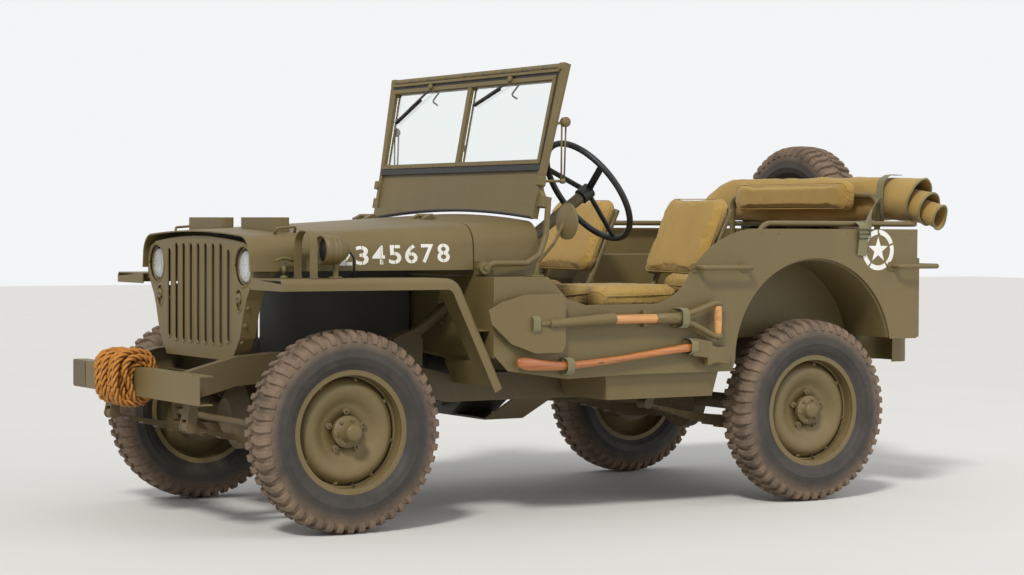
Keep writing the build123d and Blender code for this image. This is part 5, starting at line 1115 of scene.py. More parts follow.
def padShape(at, z, x, halfWidth, halfLength, halfThickness, lean):
    # middle and half sizes, the direction of its length (rearwards, or up a back) and out of its used face
    angle = math.radians(lean)
    return {
        "centre": place(x, at, z),
        "along": Vector((0, math.cos(angle), math.sin(angle))),
        "out": Vector((0, -math.sin(angle), math.cos(angle))),
        "halfWidth": halfWidth / 1000,
        "halfLength": halfLength / 1000,
        "halfThickness": halfThickness / 1000,
    }


def swell(pad, cap):
    # cloth under pressure, each point held to the cap
    start = [v.co.copy() for v in pad.data.vertices]
    cloth = pad.modifiers.new("cloth", "CLOTH")
    cloth.settings.use_pressure = True
    cloth.settings.uniform_pressure_force = padCloth["pressure"]
    cloth.settings.effector_weights.gravity = 0.0
    cloth.settings.quality = padCloth["quality"]
    cloth.settings.tension_stiffness = padCloth["tension"]
    cloth.settings.compression_stiffness = padCloth["compression"]
    cloth.settings.bending_stiffness = padCloth["bending"]
    cloth.point_cache.frame_start = 1
    cloth.point_cache.frame_end = padCloth["frames"]
    for step in range(1, padCloth["frames"] + 1):
        bpy.context.scene.frame_set(step)
    pad = applyModifiers(pad)
    bpy.context.scene.frame_set(1)
    for vert, before in zip(pad.data.vertices, start):
        move = vert.co - before
        if move.length > cap:
            vert.co = before + move.normalized() * cap
    smooth = pad.modifiers.new("finer", "SUBSURF")
    smooth.levels = smooth.render_levels = 1
    return applyModifiers(pad)


def puckered(pad, seat):
    # the side walls are gathered at their seams and the used face has long soft creases
    along, out = seat["along"], seat["out"]
    normals = [vert.normal.copy() for vert in pad.data.vertices]
    for vert, normal in zip(pad.data.vertices, normals):
        local = vert.co - seat["centre"]
        x, y = local.x, local.dot(along)
        u, v, w = x / seat["halfWidth"], y / seat["halfLength"], local.dot(out) / seat["halfThickness"]
        edge = max(abs(u), abs(v))
        nearSeam = max(0.0, 1 - abs(abs(w) - 0.62) / 0.30) * min(1.0, max(0.0, (edge - 0.80) / 0.12))
        pucker = noise.noise(Vector((x * 55, y * 55, w * 1.5))) * 0.0028
        pucker += math.sin((x + y) * 330) * 0.0008
        crease = noise.noise(Vector((x * 7, y * 9, 3.0 + w))) * 0.0035
        crease += noise.noise(Vector((x * 22, y * 16, 9.0))) * 0.0016
        gather = (0.35 + nearSeam) * min(1.0, max(0.0, (edge - 0.7) / 0.2))
        vert.co += normal * (pucker * gather + crease * (1 - 0.5 * edge))
    return pad


def seamOn(pad, name, seat):
    # a corded seam thrown on the used face along a rounded outline
    along, out, inset = seat["along"], seat["out"], padCloth["seamInset"]
    outline = roundedOutline(seat["halfWidth"] - inset, seat["halfLength"] - inset,
                             padCloth["seamCorner"], 10)
    above = seat["centre"] + out * padCloth["seamReach"]
    path = []
    for (u, v), (u2, v2) in zip(outline, outline[1:] + outline[:1]):
        for i in range(4):
            share = i / 4
            start = above + Vector((u + (u2 - u) * share, 0, 0)) + along * (v + (v2 - v) * share)
            hit, where, normal, _ = pad.ray_cast(start, -out)
            if hit and (not path or (where - path[-1]).length > padCloth["seamGap"]):
                path.append(where + normal * padCloth["seamRadius"] * 0.25)
    return pipe(name, path, padCloth["seamRadius"], finishes["seatCanvas"], 8, closed=True)


def makePad(name, node, at, z, x, halfWidth, halfLength, halfThickness, lean, corner, cap):
    seat = padShape(at, z, x, halfWidth, halfLength, halfThickness, lean)
    start, inset = seat["halfThickness"] - cap * padCloth["slack"], padCloth["inset"]
    outline = roundedOutline(seat["halfWidth"] - inset, seat["halfLength"] - inset, corner)
    pad = slab(name, outline, 2 * start, seat["centre"] - seat["out"] * start, (1, 0, 0), seat["along"], None,
               padCloth["roundness"])
    remesh = pad.modifiers.new("remesh", "REMESH")
    remesh.mode = "VOXEL"
    remesh.voxel_size = padCloth["voxel"]
    pad = applyModifiers(pad)
    pad = swell(pad, cap)
    pad = shadeSmooth(puckered(pad, seat))
    pad.data.materials.clear()
    pad.data.materials.append(finishes["seatCanvas"])
    seam = seamOn(pad, name + "_seam", seat)
    handOver(pad, "chassis", "canvas", node)
    handOver(seam, "chassis", "canvas")


for row in padTable:
    makePad(*row)
print("seats padded")


# Folded top: canvas rolled three deep, open at its ends, with bound edges
rollTable = [
    # name, sections from end to end: x, station and height of the middle, half depth, half height
    ("canvas_roll_outer", [(-700, 2586, 1165, 72, 60), (-640, 2578, 1176, 62, 80), (-560, 2572, 1187, 42, 90),
                           (-300, 2571, 1188, 42, 92), (80, 2571, 1189, 41, 93), (220, 2594, 1187, 64, 90),
                           (420, 2600, 1185, 70, 88), (560, 2603, 1183, 74, 86), (648, 2600, 1180, 74, 84)]),
    ("canvas_roll_middle", [(430, 2604, 1178, 52, 60), (560, 2606, 1168, 58, 62), (700, 2604, 1146, 60, 62)]),
    ("canvas_roll_inner", [(520, 2606, 1164, 34, 38), (640, 2612, 1146, 38, 42), (746, 2622, 1112, 40, 46)]),
]
rollCloth = {
    "sides": 56,
    "step": 22,
    "mouthLean": 0.30,
    "folds": 0.035,
    "unevenness": 0.02,
    "drape": (0.006, 0.0022),  # broad and fine
    "thickness": 0.0026,
    "binding": 0.0042,
}


def rollSection(x, at, z, halfDepth, halfHeight, lean):
    ring, sides = [], rollCloth["sides"]
    for k in range(sides):
        angle = 2 * math.pi * k / sides
        uneven = noise.noise(Vector((angle * 1.6, x / 90, at / 50)))
        fold = 1 + rollCloth["folds"] * math.sin(3 * angle + x / 170) + rollCloth["unevenness"] * uneven
        y, up = halfDepth * math.cos(angle) * fold, halfHeight * math.sin(angle) * fold
        ring.append(place(x + lean * (up - y * 0.6), at + y, z + up))
    return ring


def draped(vert):
    broad, fine = rollCloth["drape"]
    drape = noise.noise(Vector((vert.x * 9, vert.y * 14, vert.z * 14))) * broad
    drape += noise.noise(Vector((vert.x * 26, vert.y * 30, vert.z * 30))) * fine
    return vert + Vector((0, drape, drape * 0.8))


def makeRoll(name, sections):
    rings, sides = [], rollCloth["sides"]
    for one, two in zip(sections, sections[1:]):
        steps = max(2, int((two[0] - one[0]) / rollCloth["step"]))
        for i in range(steps):
            rings.append(rollSection(*[a + (b - a) * i / steps for a, b in zip(one, two)], 0.0))
    rings.append(rollSection(*sections[-1], rollCloth["mouthLean"]))
    rings[-2] = [a.lerp(b, 0.5) for a, b in zip(rings[-2], rings[-1])]
    verts = [draped(point) for ring in rings for point in ring]
    faces = []
    for i in range(len(rings) - 1):
        for k in range(sides):
            a, b = i * sides + k, i * sides + (k + 1) % sides
            faces.append((a, b, b + sides, a + sides))
    cloth = meshPiece(name, verts, faces, finishes["seatCanvas"])
    thick = cloth.modifiers.new("thick", "SOLIDIFY")
    thick.thickness = rollCloth["thickness"]
    thick.offset = 0
    cloth = shadeSmooth(applyModifiers(cloth))
    binding = pipe(name + "_binding", verts[-sides:], rollCloth["binding"], finishes["webbing"], 8,
                   closed=True)
    handOver(cloth, "chassis", "canvas", "canvas_roll")
    handOver(binding, "chassis", "canvas")


for name, sections in rollTable:
    makeRoll(name, sections)


# Webbing straps: a flat band along a path, and its buckle
def band(name, path, wide, width, thick, material, crown=0.15):
    # wide is the direction of the band's width
    wide = Vector(wide).normalized()
    section = [(-1, -0.5), (-1, 0.5), (-0.5, 0.5 + crown), (0, 0.5 + crown * 1.3), (0.5, 0.5 + crown),
               (1, 0.5), (1, -0.5), (0, -0.5)]
    verts, faces = [], []
    for point, (tangent, _, _) in zip(path, framesAlong(path)):
        across = (wide - tangent * wide.dot(tangent)).normalized()
        out = across.cross(tangent)
        verts += [point + across * (u * width / 2) + out * (v * thick) for u, v in section]
    size = len(section)
    for i in range(len(path) - 1):
        for k in range(size):
            a, b = i * size + k, i * size + (k + 1) % size
            faces.append((a, b, b + size, a + size))
    faces += [tuple(range(size - 1, -1, -1)), tuple((len(path) - 1) * size + k for k in range(size))]
    return meshPiece(name, verts, faces, material, smooth=False)


def buckle(name, centre, across, up, width, height, material):
    # a bent wire frame with its bar
    across, up, centre = Vector(across), Vector(up), Vector(centre)
    corners = [centre + across * (u * width / 2) + up * (v * height / 2)
               for u, v in ((-1, -1), (1, -1), (1, 1), (-1, 1), (-1, -1))]
    wire = pipe(name, roundCorners(corners, 0.006), 0.0022, material, 8)
    bar = pipe(name, [centre - across * width / 2, centre + across * width / 2], 0.0018, material, 8)
    return joinPieces(name, [wire, bar])


def finePath(points, radius, step=0.008):
    path = roundCorners([place(*point) for point in points], radius, 8)
    fine = [path[0]]
    for a, b in zip(path, path[1:]):
        count = max(1, int((b - a).length / step))
        fine += [a.lerp(b, (i + 1) / count) for i in range(count)]
    return fine


rollStraps = {
    # path, how its corners are rounded, direction of its width, width, thickness
    "roll_strap": (
        [(470, 2545, 1088), (500, 2518, 1130), (505, 2508, 1190), (500, 2520, 1262), (498, 2560, 1287),
         (496, 2620, 1285)], 0.05, (1, 0, 0), 0.040, 0.0022),
    "roll_strap_tail": (
        [(705, 2236, 1092), (737, 2236, 1078), (741, 2232, 1030), (736, 2226, 960)], 0.015,
        (0, 1, 0), 0.044, 0.0026),
    "roll_strap_side": (
        [(735, 2240, 1040), (730, 2262, 1100), (660, 2330, 1130), (560, 2430, 1150), (508, 2500, 1180)], 0.03,
        (0, 0.55, 0.83), 0.040, 0.0024),
}
for name, (points, radius, wide, width, thick) in rollStraps.items():
    strap = band(name, finePath(points, radius), wide, width, thick, finishes["webbing"])
    handOver(strap, "chassis", "canvas")
rollBuckle = buckle("roll_strap_buckle", place(744, 2234, 1046), (0, 1, 0), (0, 0, 1), 0.056, 0.036,
                    finishes["bareSteel"])
handOver(rollBuckle, "chassis", "dark_metal")
print("canvas rolled and strapped")


# Windshield: piano hinge and double rails over the glass, a rubber band under it, tubes down both sides.
# Its sizes are millimetres across the leaning frame, up it, and ahead of its middle plane.
screen = {
    "lean": 11.14,
    "zero": (824, 1284),
    "face": 12.5,
    "hinge": {"up": 377, "ahead": 6, "half": 650, "segments": 9, "joint": 1.6, "radius": 0.0108,
              "pin": 0.0086},
    "bars": [
        # name, low, high, half width at each, depth, finish, bevel
        ("rail", 355, 365, 632, 633, 9, "olivePaint", 0.0015),
        # painted shade: the shade row is a thin black strip in the gap under the rail
        ("shade", 345.5, 354, 630, 632, 1.5, "blackEnamel", 0),
        ("topRail", 327, 344, 618, 619, 6.5, "olivePaint", 0.0015),
        ("lowRail", 12, 28, 603, 604, 6.5, "olivePaint", 0.0015),
        ("post", 28, 327, 13, 13, 5, "olivePaint", 0.0015),
        ("rubber", -12, 11, 608, 609, 3.5, "blackEnamel", 0.001),
    ],
    "stile": [(588, 30), (600, 324), (619, 344), (604, 12)],
    "gap": [(604, 12), (619, 344), (627, 344), (611, 12)],
    "tube": [(650, 384, 3), (613, 8, 3), (608, -60, 2), (618, -100, -10), (650, -140, -26)],
    "tubeRadius": 0.0118,
    "rivets": [(x, -158, 12.5) for x in (-420, -395, 395, 420)]
              + [(x, 20, 19) for x in range(-540, 541, 180)],
    "foot": {"half": 606, "up": -187, "crown": 30, "curve": 614, "ahead": 6, "radius": 0.0085, "steps": 40},
    "adjuster": {"x": 634, "top": (898, 1452), "foot": (894, 1236), "rodGap": 9},
    "wiper": {"x": 304, "up": 341},
}
screenLean = math.radians(screen["lean"])
screenAcross, screenUp = Vector((1, 0, 0)), Vector((0, math.sin(screenLean), math.cos(screenLean)))
screenOut = screenAcross.cross(screenUp)


def screenPoint(across, up, ahead=0.0):
    at, z = screen["zero"]
    return place(across, at + up * math.sin(screenLean) - ahead * math.cos(screenLean),
                 z + up * math.cos(screenLean) + ahead * math.sin(screenLean))


def screenBar(name, corners, start, depth, finish="olivePaint", bevel=0.0015):
    # a bar cut to corners (across, up) standing on the frame
    return slab(name, [(u / 1000, v / 1000) for u, v in corners], depth / 1000, screenPoint(0, 0, start),
                screenAcross, screenUp, finishes[finish], bevel)


def screenHinge():
    hinge = screen["hinge"]
    length = 2 * hinge["half"] / hinge["segments"]
    parts = []
    for i in range(hinge["segments"]):
        low = -hinge["half"] + i * length
        ends = [screenPoint(x, hinge["up"], hinge["ahead"])
                for x in (low + hinge["joint"], low + length - hinge["joint"])]
        parts.append(pipe("hinge", ends, hinge["radius"], olive, 16))
    pin = [screenPoint(x, hinge["up"], hinge["ahead"]) for x in (-hinge["half"], hinge["half"])]
    return parts + [pipe("pin", pin, hinge["pin"], black, 10)]


def screenSide(side):
    # stile, a black strip as painted shade in the gap beside it, side tube, corner bracket and the clamp on
    # the pivot
    def mirrored(corners):
        return [(side * u, v) for u, v in corners]

    tube = roundCorners([screenPoint(side * x, up, ahead) for x, up, ahead in screen["tube"]], 0.05, 8)
    corner = [(side * 638 - 18, 362), (side * 638 + 18, 362), (side * 640 + 18, 391), (side * 640 - 18, 391)]
    return [screenBar("stile", mirrored(screen["stile"]), screen["face"], 6.5),
            screenBar("shade", mirrored(screen["gap"]), screen["face"], 1.2, "blackEnamel", 0),
            pipe("sideTube", tube, screen["tubeRadius"], olive, 18),
            screenBar("corner", corner, -9, 27, bevel=0.006),
            screenBar("clamp", mirrored([(609, -70), (641, -70), (641, -36), (609, -36)]), -6, 26,
                      bevel=0.004)]


def footStrip():
    # the rubber strip along the panel's crowned foot
    foot = screen["foot"]
    path = []
    for i in range(foot["steps"] + 1):
        x = -foot["half"] + 2 * foot["half"] * i / foot["steps"]
        up = foot["up"] + foot["crown"] * (1 - (x / foot["curve"]) ** 2)
        path.append(screenPoint(x, up, foot["ahead"]))
    return pipe("footStrip", path, foot["radius"], black, 10, flat=0.8)


def adjuster(side):
    # the slotted arm beside the glass: two thin rods from the frame's foot up to a knob
    table = screen["adjuster"]
    x, top, foot, gap = side * table["x"], table["top"], table["foot"], table["rodGap"]
    parts = [pipe("rod", [place(x, foot[0] + shift * 0.7, foot[1]), place(x, top[0] + shift, top[1])], 0.0034,
                  olive, 8) for shift in (-gap, gap)]
    parts.append(turned("foot", [(-0.007, 0), (-0.007, 0.010), (0.007, 0.010), (0.007, 0)], place(x, *foot),
                        (1, 0, 0), olive, 16))
    knob = [(-0.012, 0), (-0.012, 0.011), (0.0, 0.018), (0.018, 0.0185), (0.024, 0.015), (0.025, 0)]
    parts.append(turned("knob", knob, place(x, *top), (side, 0, 0), olive, 20))
    for end, (across, up) in ((top, (636, 166)), (foot, (612, -48))):
        parts.append(pipe("stay", [place(x, *end), screenPoint(side * across, up, -10)], 0.005, olive, 8))
    return joinPieces("adjuster_" + ("left" if side > 0 else "right"), parts)


def wiperCranks():
    # a hand crank behind each wiper's pivot, and the rod that links the two
    up = screen["wiper"]["up"]
    parts = []
    for x in (-screen["wiper"]["x"], screen["wiper"]["x"]):
        boss = [(0.0, 0), (0.0, 0.013), (0.012, 0.013), (0.016, 0.009), (0.017, 0)]
        parts.append(turned("boss", boss, screenPoint(x, up, 14), screenOut, olive, 18))
        crank = [(0, up, -12), (0, up, -30), (-38, 318, -34), (-62, 296, -34), (-42, 284, -50)]
        path = roundCorners([screenPoint(x + u, v, w) for u, v, w in crank], 0.012)
        parts.append(pipe("crank", path, 0.0036, black, 8))
    parts.append(pipe("link", [screenPoint(-296, 334, -30), screenPoint(296, 337, -30)], 0.0032, black, 8))
    return joinPieces("wiper_cranks", parts)


screenParts = screenHinge() + screenSide(-1) + screenSide(1) + [footStrip()]
for name, low, high, lowHalf, highHalf, depth, finish, bevel in screen["bars"]:
    corners = [(-lowHalf, low), (lowHalf, low), (highHalf, high), (-highHalf, high)]
    screenParts.append(screenBar(name, corners, screen["face"], depth, finish, bevel))
rivets = [(screenPoint(*spot), screenOut) for spot in screen["rivets"]]
screenParts.append(studs("rivets", "rivet", 0.0042, 0.0024, rivets, olive))
handOver(joinPieces("windshield_trim", screenParts), "windshield", "painted")
for side in (-1, 1):
    handOver(adjuster(side), "windshield", "painted")
handOver(wiperCranks(), "windshield", "blackened")
print("windshield trimmed")


# Painted marks: a star in a ring broken at its tips, and plain stencil digits on the hood's side
starShape = {
    "station": 2314,
    "height": 982,
    "radius": 0.080,
    "ringInside": 0.76,  # shares of the radius, as are the next two
    "tip": 0.645,
    "notch": 0.255,
    "break": 3.2,  # degrees on each side of a tip
    "paint": 0.0005,
}
hoodNumber = {
    "digits": "2345678",
    "first": 34,
    "pitch": 61.3,
    "width": 47,
    "foot": 929,
    "height": 67,
    "rise": 12 / 417,  # the row climbs with the hood
    "bold": 0.018,
    "bridge": 0.012,
    "lift": 0.0011,
}


def paintedShape(name, outline, centre):
    # a flat shape of paint on the car's left side
    return slab(name, outline, starShape["paint"], centre, (0, 1, 0), (0, 0, 1), finishes["stencil"], 0)


def starMark(centre):
    parts, radius = [], starShape["radius"]
    gap = math.radians(starShape["break"])
    for k in range(5):
        start, end = math.pi / 2 + 2 * math.pi * k / 5 + gap, math.pi / 2 + 2 * math.pi * (k + 1) / 5 - gap
        turns = [start + (end - start) * i / 20 for i in range(21)]
        arc = [(radius * math.cos(turn), radius * math.sin(turn)) for turn in turns]
        inner = [(u * starShape["ringInside"], v * starShape["ringInside"]) for u, v in arc]
        parts.append(paintedShape("arc", arc + inner[::-1], centre))
    corners = []
    for k in range(10):
        reach = radius * starShape["notch" if k % 2 else "tip"]
        angle = math.pi / 2 + math.pi * k / 5
        corners.append((reach * math.cos(angle), reach * math.sin(angle)))
    return parts + [paintedShape("star", corners, centre)]


def cutBridge(digit, centre, half):
    # the thin upright gap that a stencil's bridge leaves
    shape = bmesh.new()
    shape.from_mesh(digit.data)
    for offset in (-half, half):
        bmesh.ops.bisect_plane(shape, geom=shape.verts[:] + shape.edges[:] + shape.faces[:],
                               plane_co=(centre + offset, 0, 0), plane_no=(1, 0, 0))
    bridge = [f for f in shape.faces if abs(f.calc_center_median().x - centre) < half * 0.98]
    bmesh.ops.delete(shape, geom=bridge, context="FACES")
    shape.to_mesh(digit.data)
    shape.free()


def digitMark(sign, left, width):
    # one digit from the plain built-in face, laid on the hood
    data = bpy.data.curves.new("digit", "FONT")
    data.body = sign
    data.offset = hoodNumber["bold"]
    data.resolution_u = 6
    digit = applyModifiers(linkUp(bpy.data.objects.new("digit", data)))
    xs = [v.co.x for v in digit.data.vertices]
    ys = [v.co.y for v in digit.data.vertices]
    if sign not in "17":
        centre = (min(xs) + max(xs)) / 2 + (0.10 if sign == "4" else 0)
        cutBridge(digit, centre, (max(ys) - min(ys)) * hoodNumber["bridge"])
    foot = hoodNumber["foot"] + (left - hoodNumber["first"]) * hoodNumber["rise"]
    for vert in digit.data.vertices:
        u = (vert.co.x - min(xs)) / (max(xs) - min(xs))
        v = (vert.co.y - min(ys)) / (max(ys) - min(ys))
        vert.co = place(560, left + width * u, foot + hoodNumber["height"] * v)
    digit.data.materials.clear()
    digit.data.materials.append(finishes["stencil"])
    return layOn(digit, "hood", (-1, 0, 0), hoodNumber["lift"])


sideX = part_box("body_tub")[1].x
starAt = place(0, starShape["station"], starShape["height"])
mark = joinPieces("star_mark", starMark(Vector((sideX + 0.0003, starAt.y, starAt.z))))
handOver(mark, "chassis", "painted")
digits = [digitMark(sign, hoodNumber["first"] + i * hoodNumber["pitch"], hoodNumber["width"])
          for i, sign in enumerate(hoodNumber["digits"])]
handOver(joinPieces("hood_digits", digits), "hood", "painted")
print("marks painted")


# Front: rolled rims round the guard's openings, lamps, latches, a blank plate on the bumper
guard = {
    "at": -270.6,  # station of the rims' middle line
    "slots": 9,
    "pitch": 65.5,
    "halfSlot": 17,
    "low": 640,
    "high": 1006,
    "endDrop": 20,
    "rim": 0.0044,
    "lamp": (384, 853, 997, 72),  # x, low, high, half width of the opening
    "marker": (350, 763, 845, 26),
    "bolts": (655, 716, 778),
    "baffle": [(0.225, 0.600), (0.285, 0.600), (0.350, 0.670), (0.382, 0.760), (0.398, 0.840), (0.312, 0.850),
               (0.312, 0.995), (0.225, 0.995)],
    "baffleAt": -214,
}
lamps = {
    # places: x, station, height; outlines: how far along the lamp's axis, radius
    "headlamp": (384, -248, 925),
    "marker": (350, -269, 812),
    "fenderLamp": (600, -60, 985),
    "dish": [(0.0008, 0), (0.0016, 0.020), (0.0045, 0.040), (0.0095, 0.056), (0.0125, 0.0635),
             (0.0004, 0.0640), (0.0004, 0)],
    "lens": [(0.0205, 0), (0.0190, 0.030), (0.0150, 0.050), (0.0110, 0.0640), (0.0092, 0.0640),
             (0.0132, 0.050), (0.0172, 0.030), (0.0187, 0)],
    "bezel": [(0.0, 0.0700), (0.0125, 0.0695), (0.0150, 0.0665), (0.0135, 0.0635), (0.0085, 0.0630),
              (0.0, 0.0650), (0.0, 0.0700)],
    "markerCup": [(0.0, 0.0), (0.0, 0.0185), (0.006, 0.0185), (0.009, 0.0160), (0.0095, 0.0)],
    "markerSlit": (0.010, 0.003),
    "bell": [(-0.0006, 0.0), (-0.0006, 0.0450), (-0.0200, 0.0470), (-0.0205, 0.0500), (0.0, 0.0520),
             (0.0050, 0.0520), (0.0070, 0.0498), (0.0180, 0.0500), (0.0200, 0.0520), (0.0250, 0.0520),
             (0.0270, 0.0496), (0.0360, 0.0492), (0.0380, 0.0506), (0.0420, 0.0502), (0.0440, 0.0480),
             (0.0540, 0.0448), (0.0660, 0.0385), (0.0780, 0.0285), (0.0860, 0.0190), (0.0905, 0.0125),
             (0.0912, 0.0)],
    "darkFace": [(0.0012, 0), (0.0012, 0.0440), (0.0030, 0.0430), (0.0036, 0)],
    "cable": [(600, 26, 985), (600, 52, 960), (585, 60, 905), (560, 64, 893)],
}
hoodHold = {
    "latch": (524, -182),  # x, station
    "latchTop": 0.952,
    "foot": [(0, 0), (0, 0.016), (0.006, 0.014), (0.010, 0.007), (0.010, 0)],
    "sleeve": [(0, 0), (0, 0.0075), (0.026, 0.0075), (0.026, 0)],
    "headReach": (-0.034, -0.024, -0.012, 0, 0.012, 0.024, 0.034),
    "handleX": 430,
    "handleEnds": (-172, -96),
    "handleLift": (0.012, 0.020),
}
plateCorners = [(-581, 462), (-460, 462), (-460, 555), (-581, 555)]
ahead = Vector((0, -1, 0))


def skinAt(node, start, way):
    # where a line meets a CAD node, and the way its skin faces there; nothing where it misses
    hit, where, normal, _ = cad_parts[node].ray_cast(Vector(start), Vector(way).normalized())
    return (where, normal) if hit else None


def studsOnSkin(name, kind, radius, height, spots):
    return studs(name, kind, radius, height, [spot for spot in spots if spot], olive)


def roundedSlot(x, low, high, half, at, steps=8):
    # an upright slot's outline on the guard
    path = []
    for centre, start in ((high - half, 0), (low + half, 180)):
        for i in range(steps + 1):
            angle = math.radians(start + 180 * i / steps)
            path.append(place(x + half * math.cos(angle), at, centre + half * math.sin(angle)))
    return path


def rimRound(outline, radius):
    return pipe("rim", outline, radius, olive, 10, closed=True)


def guardRims():
    parts, last = [], guard["slots"] - 1
    for i in range(guard["slots"]):
        drop = guard["endDrop"] if i in (0, last) else 0
        outline = roundedSlot((i - last / 2) * guard["pitch"], guard["low"] + drop / 2, guard["high"] - drop,
                              guard["halfSlot"], guard["at"])
        parts.append(rimRound(outline, guard["rim"]))
    for side in (-1, 1):
        for opening, steps, radius in (("lamp", 24, guard["rim"]), ("marker", 12, 0.0038)):
            x, low, high, half = guard[opening]
            parts.append(rimRound(roundedSlot(side * x, low, high, half, guard["at"], steps), radius))
        bolts = [skinAt("radiator_guard", place(side * 700, -258, z), (-side, 0, 0)) for z in guard["bolts"]]
        parts.append(studsOnSkin("bolts", "bolt", 0.0075, 0.006, bolts))
    return joinPieces("guard_rims", parts)


def headlamp(side, name):
    # a bright dish, a domed lens over it, and the bezel with the small marker lamp below
    x, at, z = lamps["headlamp"]
    front = place(side * x, at, z)
    dish = turned("headlamp_mirror_" + name, lamps["dish"], front, ahead, finishes["chrome"], 48)
    handOver(dish, "chassis", "glass")
    cover = turned("headlamp_lens_" + name, lamps["lens"], front, ahead, finishes["lens"], 48)
    handOver(cover, "chassis", "glass")
    x, at, z = lamps["marker"]
    marker = place(side * x, at, z)
    half, tall = lamps["markerSlit"]
    slit = [(-half, -tall), (half, -tall), (half, tall), (-half, tall)]
    parts = [turned("bezel", lamps["bezel"], front, ahead, olive, 48),
             turned("marker", lamps["markerCup"], marker, ahead, olive, 28),
             slab("markerSlit", slit, 0.0016, marker + ahead * 0.0092, (1, 0, 0), (0, 0, 1), black, 0)]
    handOver(joinPieces("headlamp_bezel_" + name, parts), "chassis", "painted")


def fenderLamp():
    front = place(*lamps["fenderLamp"])
    cable = roundCorners([place(*point) for point in lamps["cable"]], 0.02)
    return joinPieces("fender_lamp_bell", [
        turned("bell", lamps["bell"], front, -ahead, olive, 48),
        turned("dark", lamps["darkFace"], front, ahead, black, 40),
        pipe("cable", cable, 0.0045, black, 8)])


def hoodLatch(side):
    # a spring latch standing on the fender, its hooked head over the hood's edge
    x, at = hoodHold["latch"]
    foot = skinAt("front_fenders", place(side * x, at, 960), (0, 0, -1))[0]
    head = Vector((foot.x, foot.y, hoodHold["latchTop"]))
    arch = [head + Vector((0, y, 0.004 - 9.0 * y * y)) for y in hoodHold["headReach"]]
    return joinPieces("hood_latch_" + ("left" if side > 0 else "right"), [
        turned("foot", hoodHold["foot"], foot, (0, 0, 1), olive, 20),
        pipe("rod", [foot, head], 0.0042, finishes["bareSteel"], 10),
        turned("sleeve", hoodHold["sleeve"], foot + Vector((0, 0, 0.016)), (0, 0, 1), olive, 16),
        pipe("head", arch, 0.0065, olive, 10, flat=0.7)])


def hoodHandle(side):
    # a bent rod to lift the hood by
    out, up = hoodHold["handleLift"]
    above = [place(side * hoodHold["handleX"], at, 1200) for at in hoodHold["handleEnds"]]
    ends = [skinAt("hood", start, (0, 0, -1))[0] for start in above]
    lifted = [end + Vector((side * out, 0, up)) for end in ends]
    return pipe("handle", roundCorners([ends[0], lifted[0], lifted[1], ends[1]], 0.012), 0.0048, olive, 10)


def radiatorBaffles():
    # dark plates between the radiator and the guard's flanges
    centre = place(0, guard["baffleAt"], 0)
    outlines = [[(side * u, v) for u, v in guard["baffle"]] for side in (1, -1)]
    return joinPieces("radiator_baffles", [
        slab("baffle", outline, 0.002, centre, (1, 0, 0), (0, 0, 1), black, 0) for outline in outlines])


handOver(guardRims(), "chassis", "painted")
headlamp(1, "left")
headlamp(-1, "right")
handOver(fenderLamp(), "chassis", "painted")
for side in (-1, 1):
    handOver(hoodLatch(side), "chassis", "painted")
handOver(joinPieces("hood_handles", [hoodHandle(-1), hoodHandle(1)]), "hood", "painted")
handOver(radiatorBaffles(), "chassis", "blackened")
plate = slab("bumper_plate", [(u / 1000, v / 1000) for u, v in plateCorners], 0.0022, place(0, -527, 0),
             (1, 0, 0), (0, 0, 1), finishes["chassisPaint"], 0.0008)
handOver(plate, "chassis", "painted")
print("front trimmed")


# Tools on the left side: shovel with an olive yoke round its wooden grip, axe with a curved haft, straps
tools = {
    "shovelX": 764,
    "shovelZ": 731,
    "axeX": 756,
    "shaft": [(0, 0), (0, 0.0168), (0.335, 0.0168), (0.345, 0.0160), (0.345, 0)],
    "grip": [(0, 0), (0, 0.0120), (0.006, 0.0135), (0.050, 0.0155), (0.070, 0.0155), (0.114, 0.0135),
             (0.120, 0.0120), (0.120, 0)],
    "haft": [
        # station, height of the middle, half height, half thickness
        (627, 583, 9, 6), (631, 583, 16, 10), (645, 580, 22, 12), (672, 577, 25, 12.8), (710, 573, 21, 12.5),
        (770, 567, 17, 11.5), (850, 565, 14.5, 11), (990, 577, 12.5, 10.5), (1135, 593, 11.5, 10.5),
        (1260, 607, 13.5, 10.5), (1383, 623, 16.5, 11), (1420, 615, 15, 11), (1457, 605, 13, 11),
    ],
    "neck": [(0, 0.0165), (0, 0.0192), (0.100, 0.0200), (0.125, 0.0185), (0.125, 0.0), (0.010, 0)],
    "eye": [(-0.009, 0), (-0.009, 0.0165), (0.009, 0.0165), (0.009, 0)],
    "frog": [(0, 0), (0, 0.004), (0.060, 0.0105), (0.110, 0.0152), (0.110, 0)],
    "straps": [
        # station, low and high edge of what the strap holds, how far it reaches from the middle
        (846, 541, 589, 776), (1396, 599, 647, 776), (1345, 700, 762, 789), (700, 690, 746, 774),
    ],
    "axeCover": [(1390, 588), (1470, 578), (1480, 640), (1398, 655)],
}


def shovelPoint(at, z, out=0):
    return place(tools["shovelX"] + out, at, z)


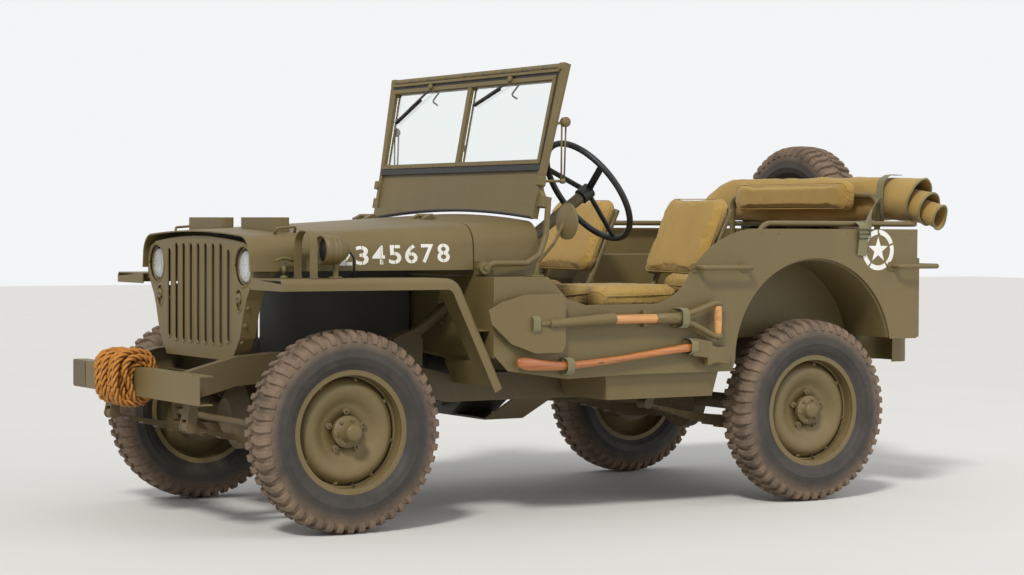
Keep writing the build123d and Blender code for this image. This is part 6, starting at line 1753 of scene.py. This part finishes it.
def haft(sides=16):
    # an oval shaft through its stations, smoothed once
    stations = tools["haft"]
    verts, faces = [], []
    for at, z, tall, thick in stations:
        for k in range(sides):
            angle = 2 * math.pi * k / sides
            verts.append(place(tools["axeX"] + thick * math.cos(angle), at, z + tall * math.sin(angle)))
    for i in range(len(stations) - 1):
        for k in range(sides):
            a, b = i * sides + k, i * sides + (k + 1) % sides
            faces.append((a, b, b + sides, a + sides))
    faces.append(tuple(range(sides - 1, -1, -1)))
    faces.append(tuple((len(stations) - 1) * sides + k for k in range(sides)))
    made = meshPiece("haft", verts, faces, finishes["varnishedWood"])
    smooth = made.modifiers.new("smooth", "SUBSURF")
    smooth.levels = smooth.render_levels = 1
    return shadeSmooth(applyModifiers(made))


def handleWood():
    ash = finishes["ashWood"]
    return joinPieces("handle_wood", [
        turned("shaft", tools["shaft"], shovelPoint(955, tools["shovelZ"]), (0, 1, 0), ash, 28),
        turned("grip", tools["grip"], shovelPoint(1508, 663), (0, 0, 1), ash, 24), haft()])


def shovelYoke():
    # the steel neck, the two arms that hold the grip, and the raised socket on the blade
    z = tools["shovelZ"]
    parts = [turned("neck", tools["neck"], shovelPoint(1222, z), (0, 1, 0), olive, 28)]
    for low in (-1, 1):
        arm = [shovelPoint(1300, z + low * 6), shovelPoint(1375, z + low * 16),
               shovelPoint(1490, 723 + low * 62), shovelPoint(1512, 722 + low * 64)]
        parts.append(pipe("arm", roundCorners(arm, 0.05, 8), 0.0125, olive, 16, flat=0.9))
        parts.append(turned("eye", tools["eye"], shovelPoint(1510, 722 + low * 62), (0, 0, 1), olive, 24))
    rivets = [(shovelPoint(at, z, 19), (1, 0, 0)) for at in (1240, 1300)]
    parts.append(studs("rivets", "rivet", 0.0045, 0.003, rivets, olive))
    parts.append(turned("frog", tools["frog"], shovelPoint(690, 716, -4), (0, 1, 0.08), olive, 20))
    return joinPieces("shovel_yoke", parts)


def toolStraps():
    # webbing round each clamp, from the body's side and back to it
    parts = []
    for at, low, high, reach in tools["straps"]:
        path = roundCorners([place(x, at, z) for x, z in (
            (731, low - 6), (reach - 14, low - 4), (reach, low + 8), (reach, high - 8),
            (reach - 14, high + 4), (731, high + 6))], 0.012)
        parts.append(band("strap", path, (0, 1, 0), 0.030, 0.0024, finishes["webbing"], 0.0))
    return joinPieces("tool_straps", parts)


handOver(handleWood(), "chassis", "wood", "tool_handles")
handOver(shovelYoke(), "chassis", "painted")
handOver(toolStraps(), "chassis", "canvas")
cover = slab("axe_cover", [(at / 1000 + frontAxle.y, z / 1000) for at, z in tools["axeCover"]], 0.031,
             (0.7405, 0, 0), (0, 1, 0), (0, 0, 1), olive, 0.004)
handOver(cover, "chassis", "painted")
print("tools strapped")


# Body fittings: bolts on the grab handles' plates, rivets on the tub's sides, the mirror's rim
fittings = {
    "plates": (1432, 1661, 2390),
    "plateX": 735.6,
    "plateZ": 918,
    "boltStep": 19,
    "rivets": [(1740, 1046), (1820, 1046), (2160, 1046), (2240, 1046), (2320, 1046), (2400, 1046),
               (2480, 1046), (2512, 640), (2512, 720), (2512, 800)],
    "mirror": (800, 805, 1088),
    "mirrorRim": [(-0.004, 0.0630), (-0.004, 0.0655), (0.003, 0.0655), (0.003, 0.0630), (-0.004, 0.0630)],
}


def bodyFittings():
    bolts, rivets = [], []
    for side in (-1, 1):
        bolts += [(place(side * fittings["plateX"], at + step, fittings["plateZ"]), (side, 0, 0))
                  for at in fittings["plates"] for step in (-fittings["boltStep"], fittings["boltStep"])]
        rivets += [skinAt("body_tub", place(side * 900, at, z), (-side, 0, 0))
                   for at, z in fittings["rivets"]]
    return joinPieces("body_fittings", [studs("bolts", "bolt", 0.0055, 0.0045, bolts, olive),
                                        studsOnSkin("rivets", "rivet", 0.0042, 0.0022, rivets)])


handOver(bodyFittings(), "chassis", "painted")
mirrorRim = turned("mirror_rim", fittings["mirrorRim"], place(*fittings["mirror"]), (0, 1, 0), olive, 40)
handOver(mirrorRim, "chassis", "painted")
print("body fitted")
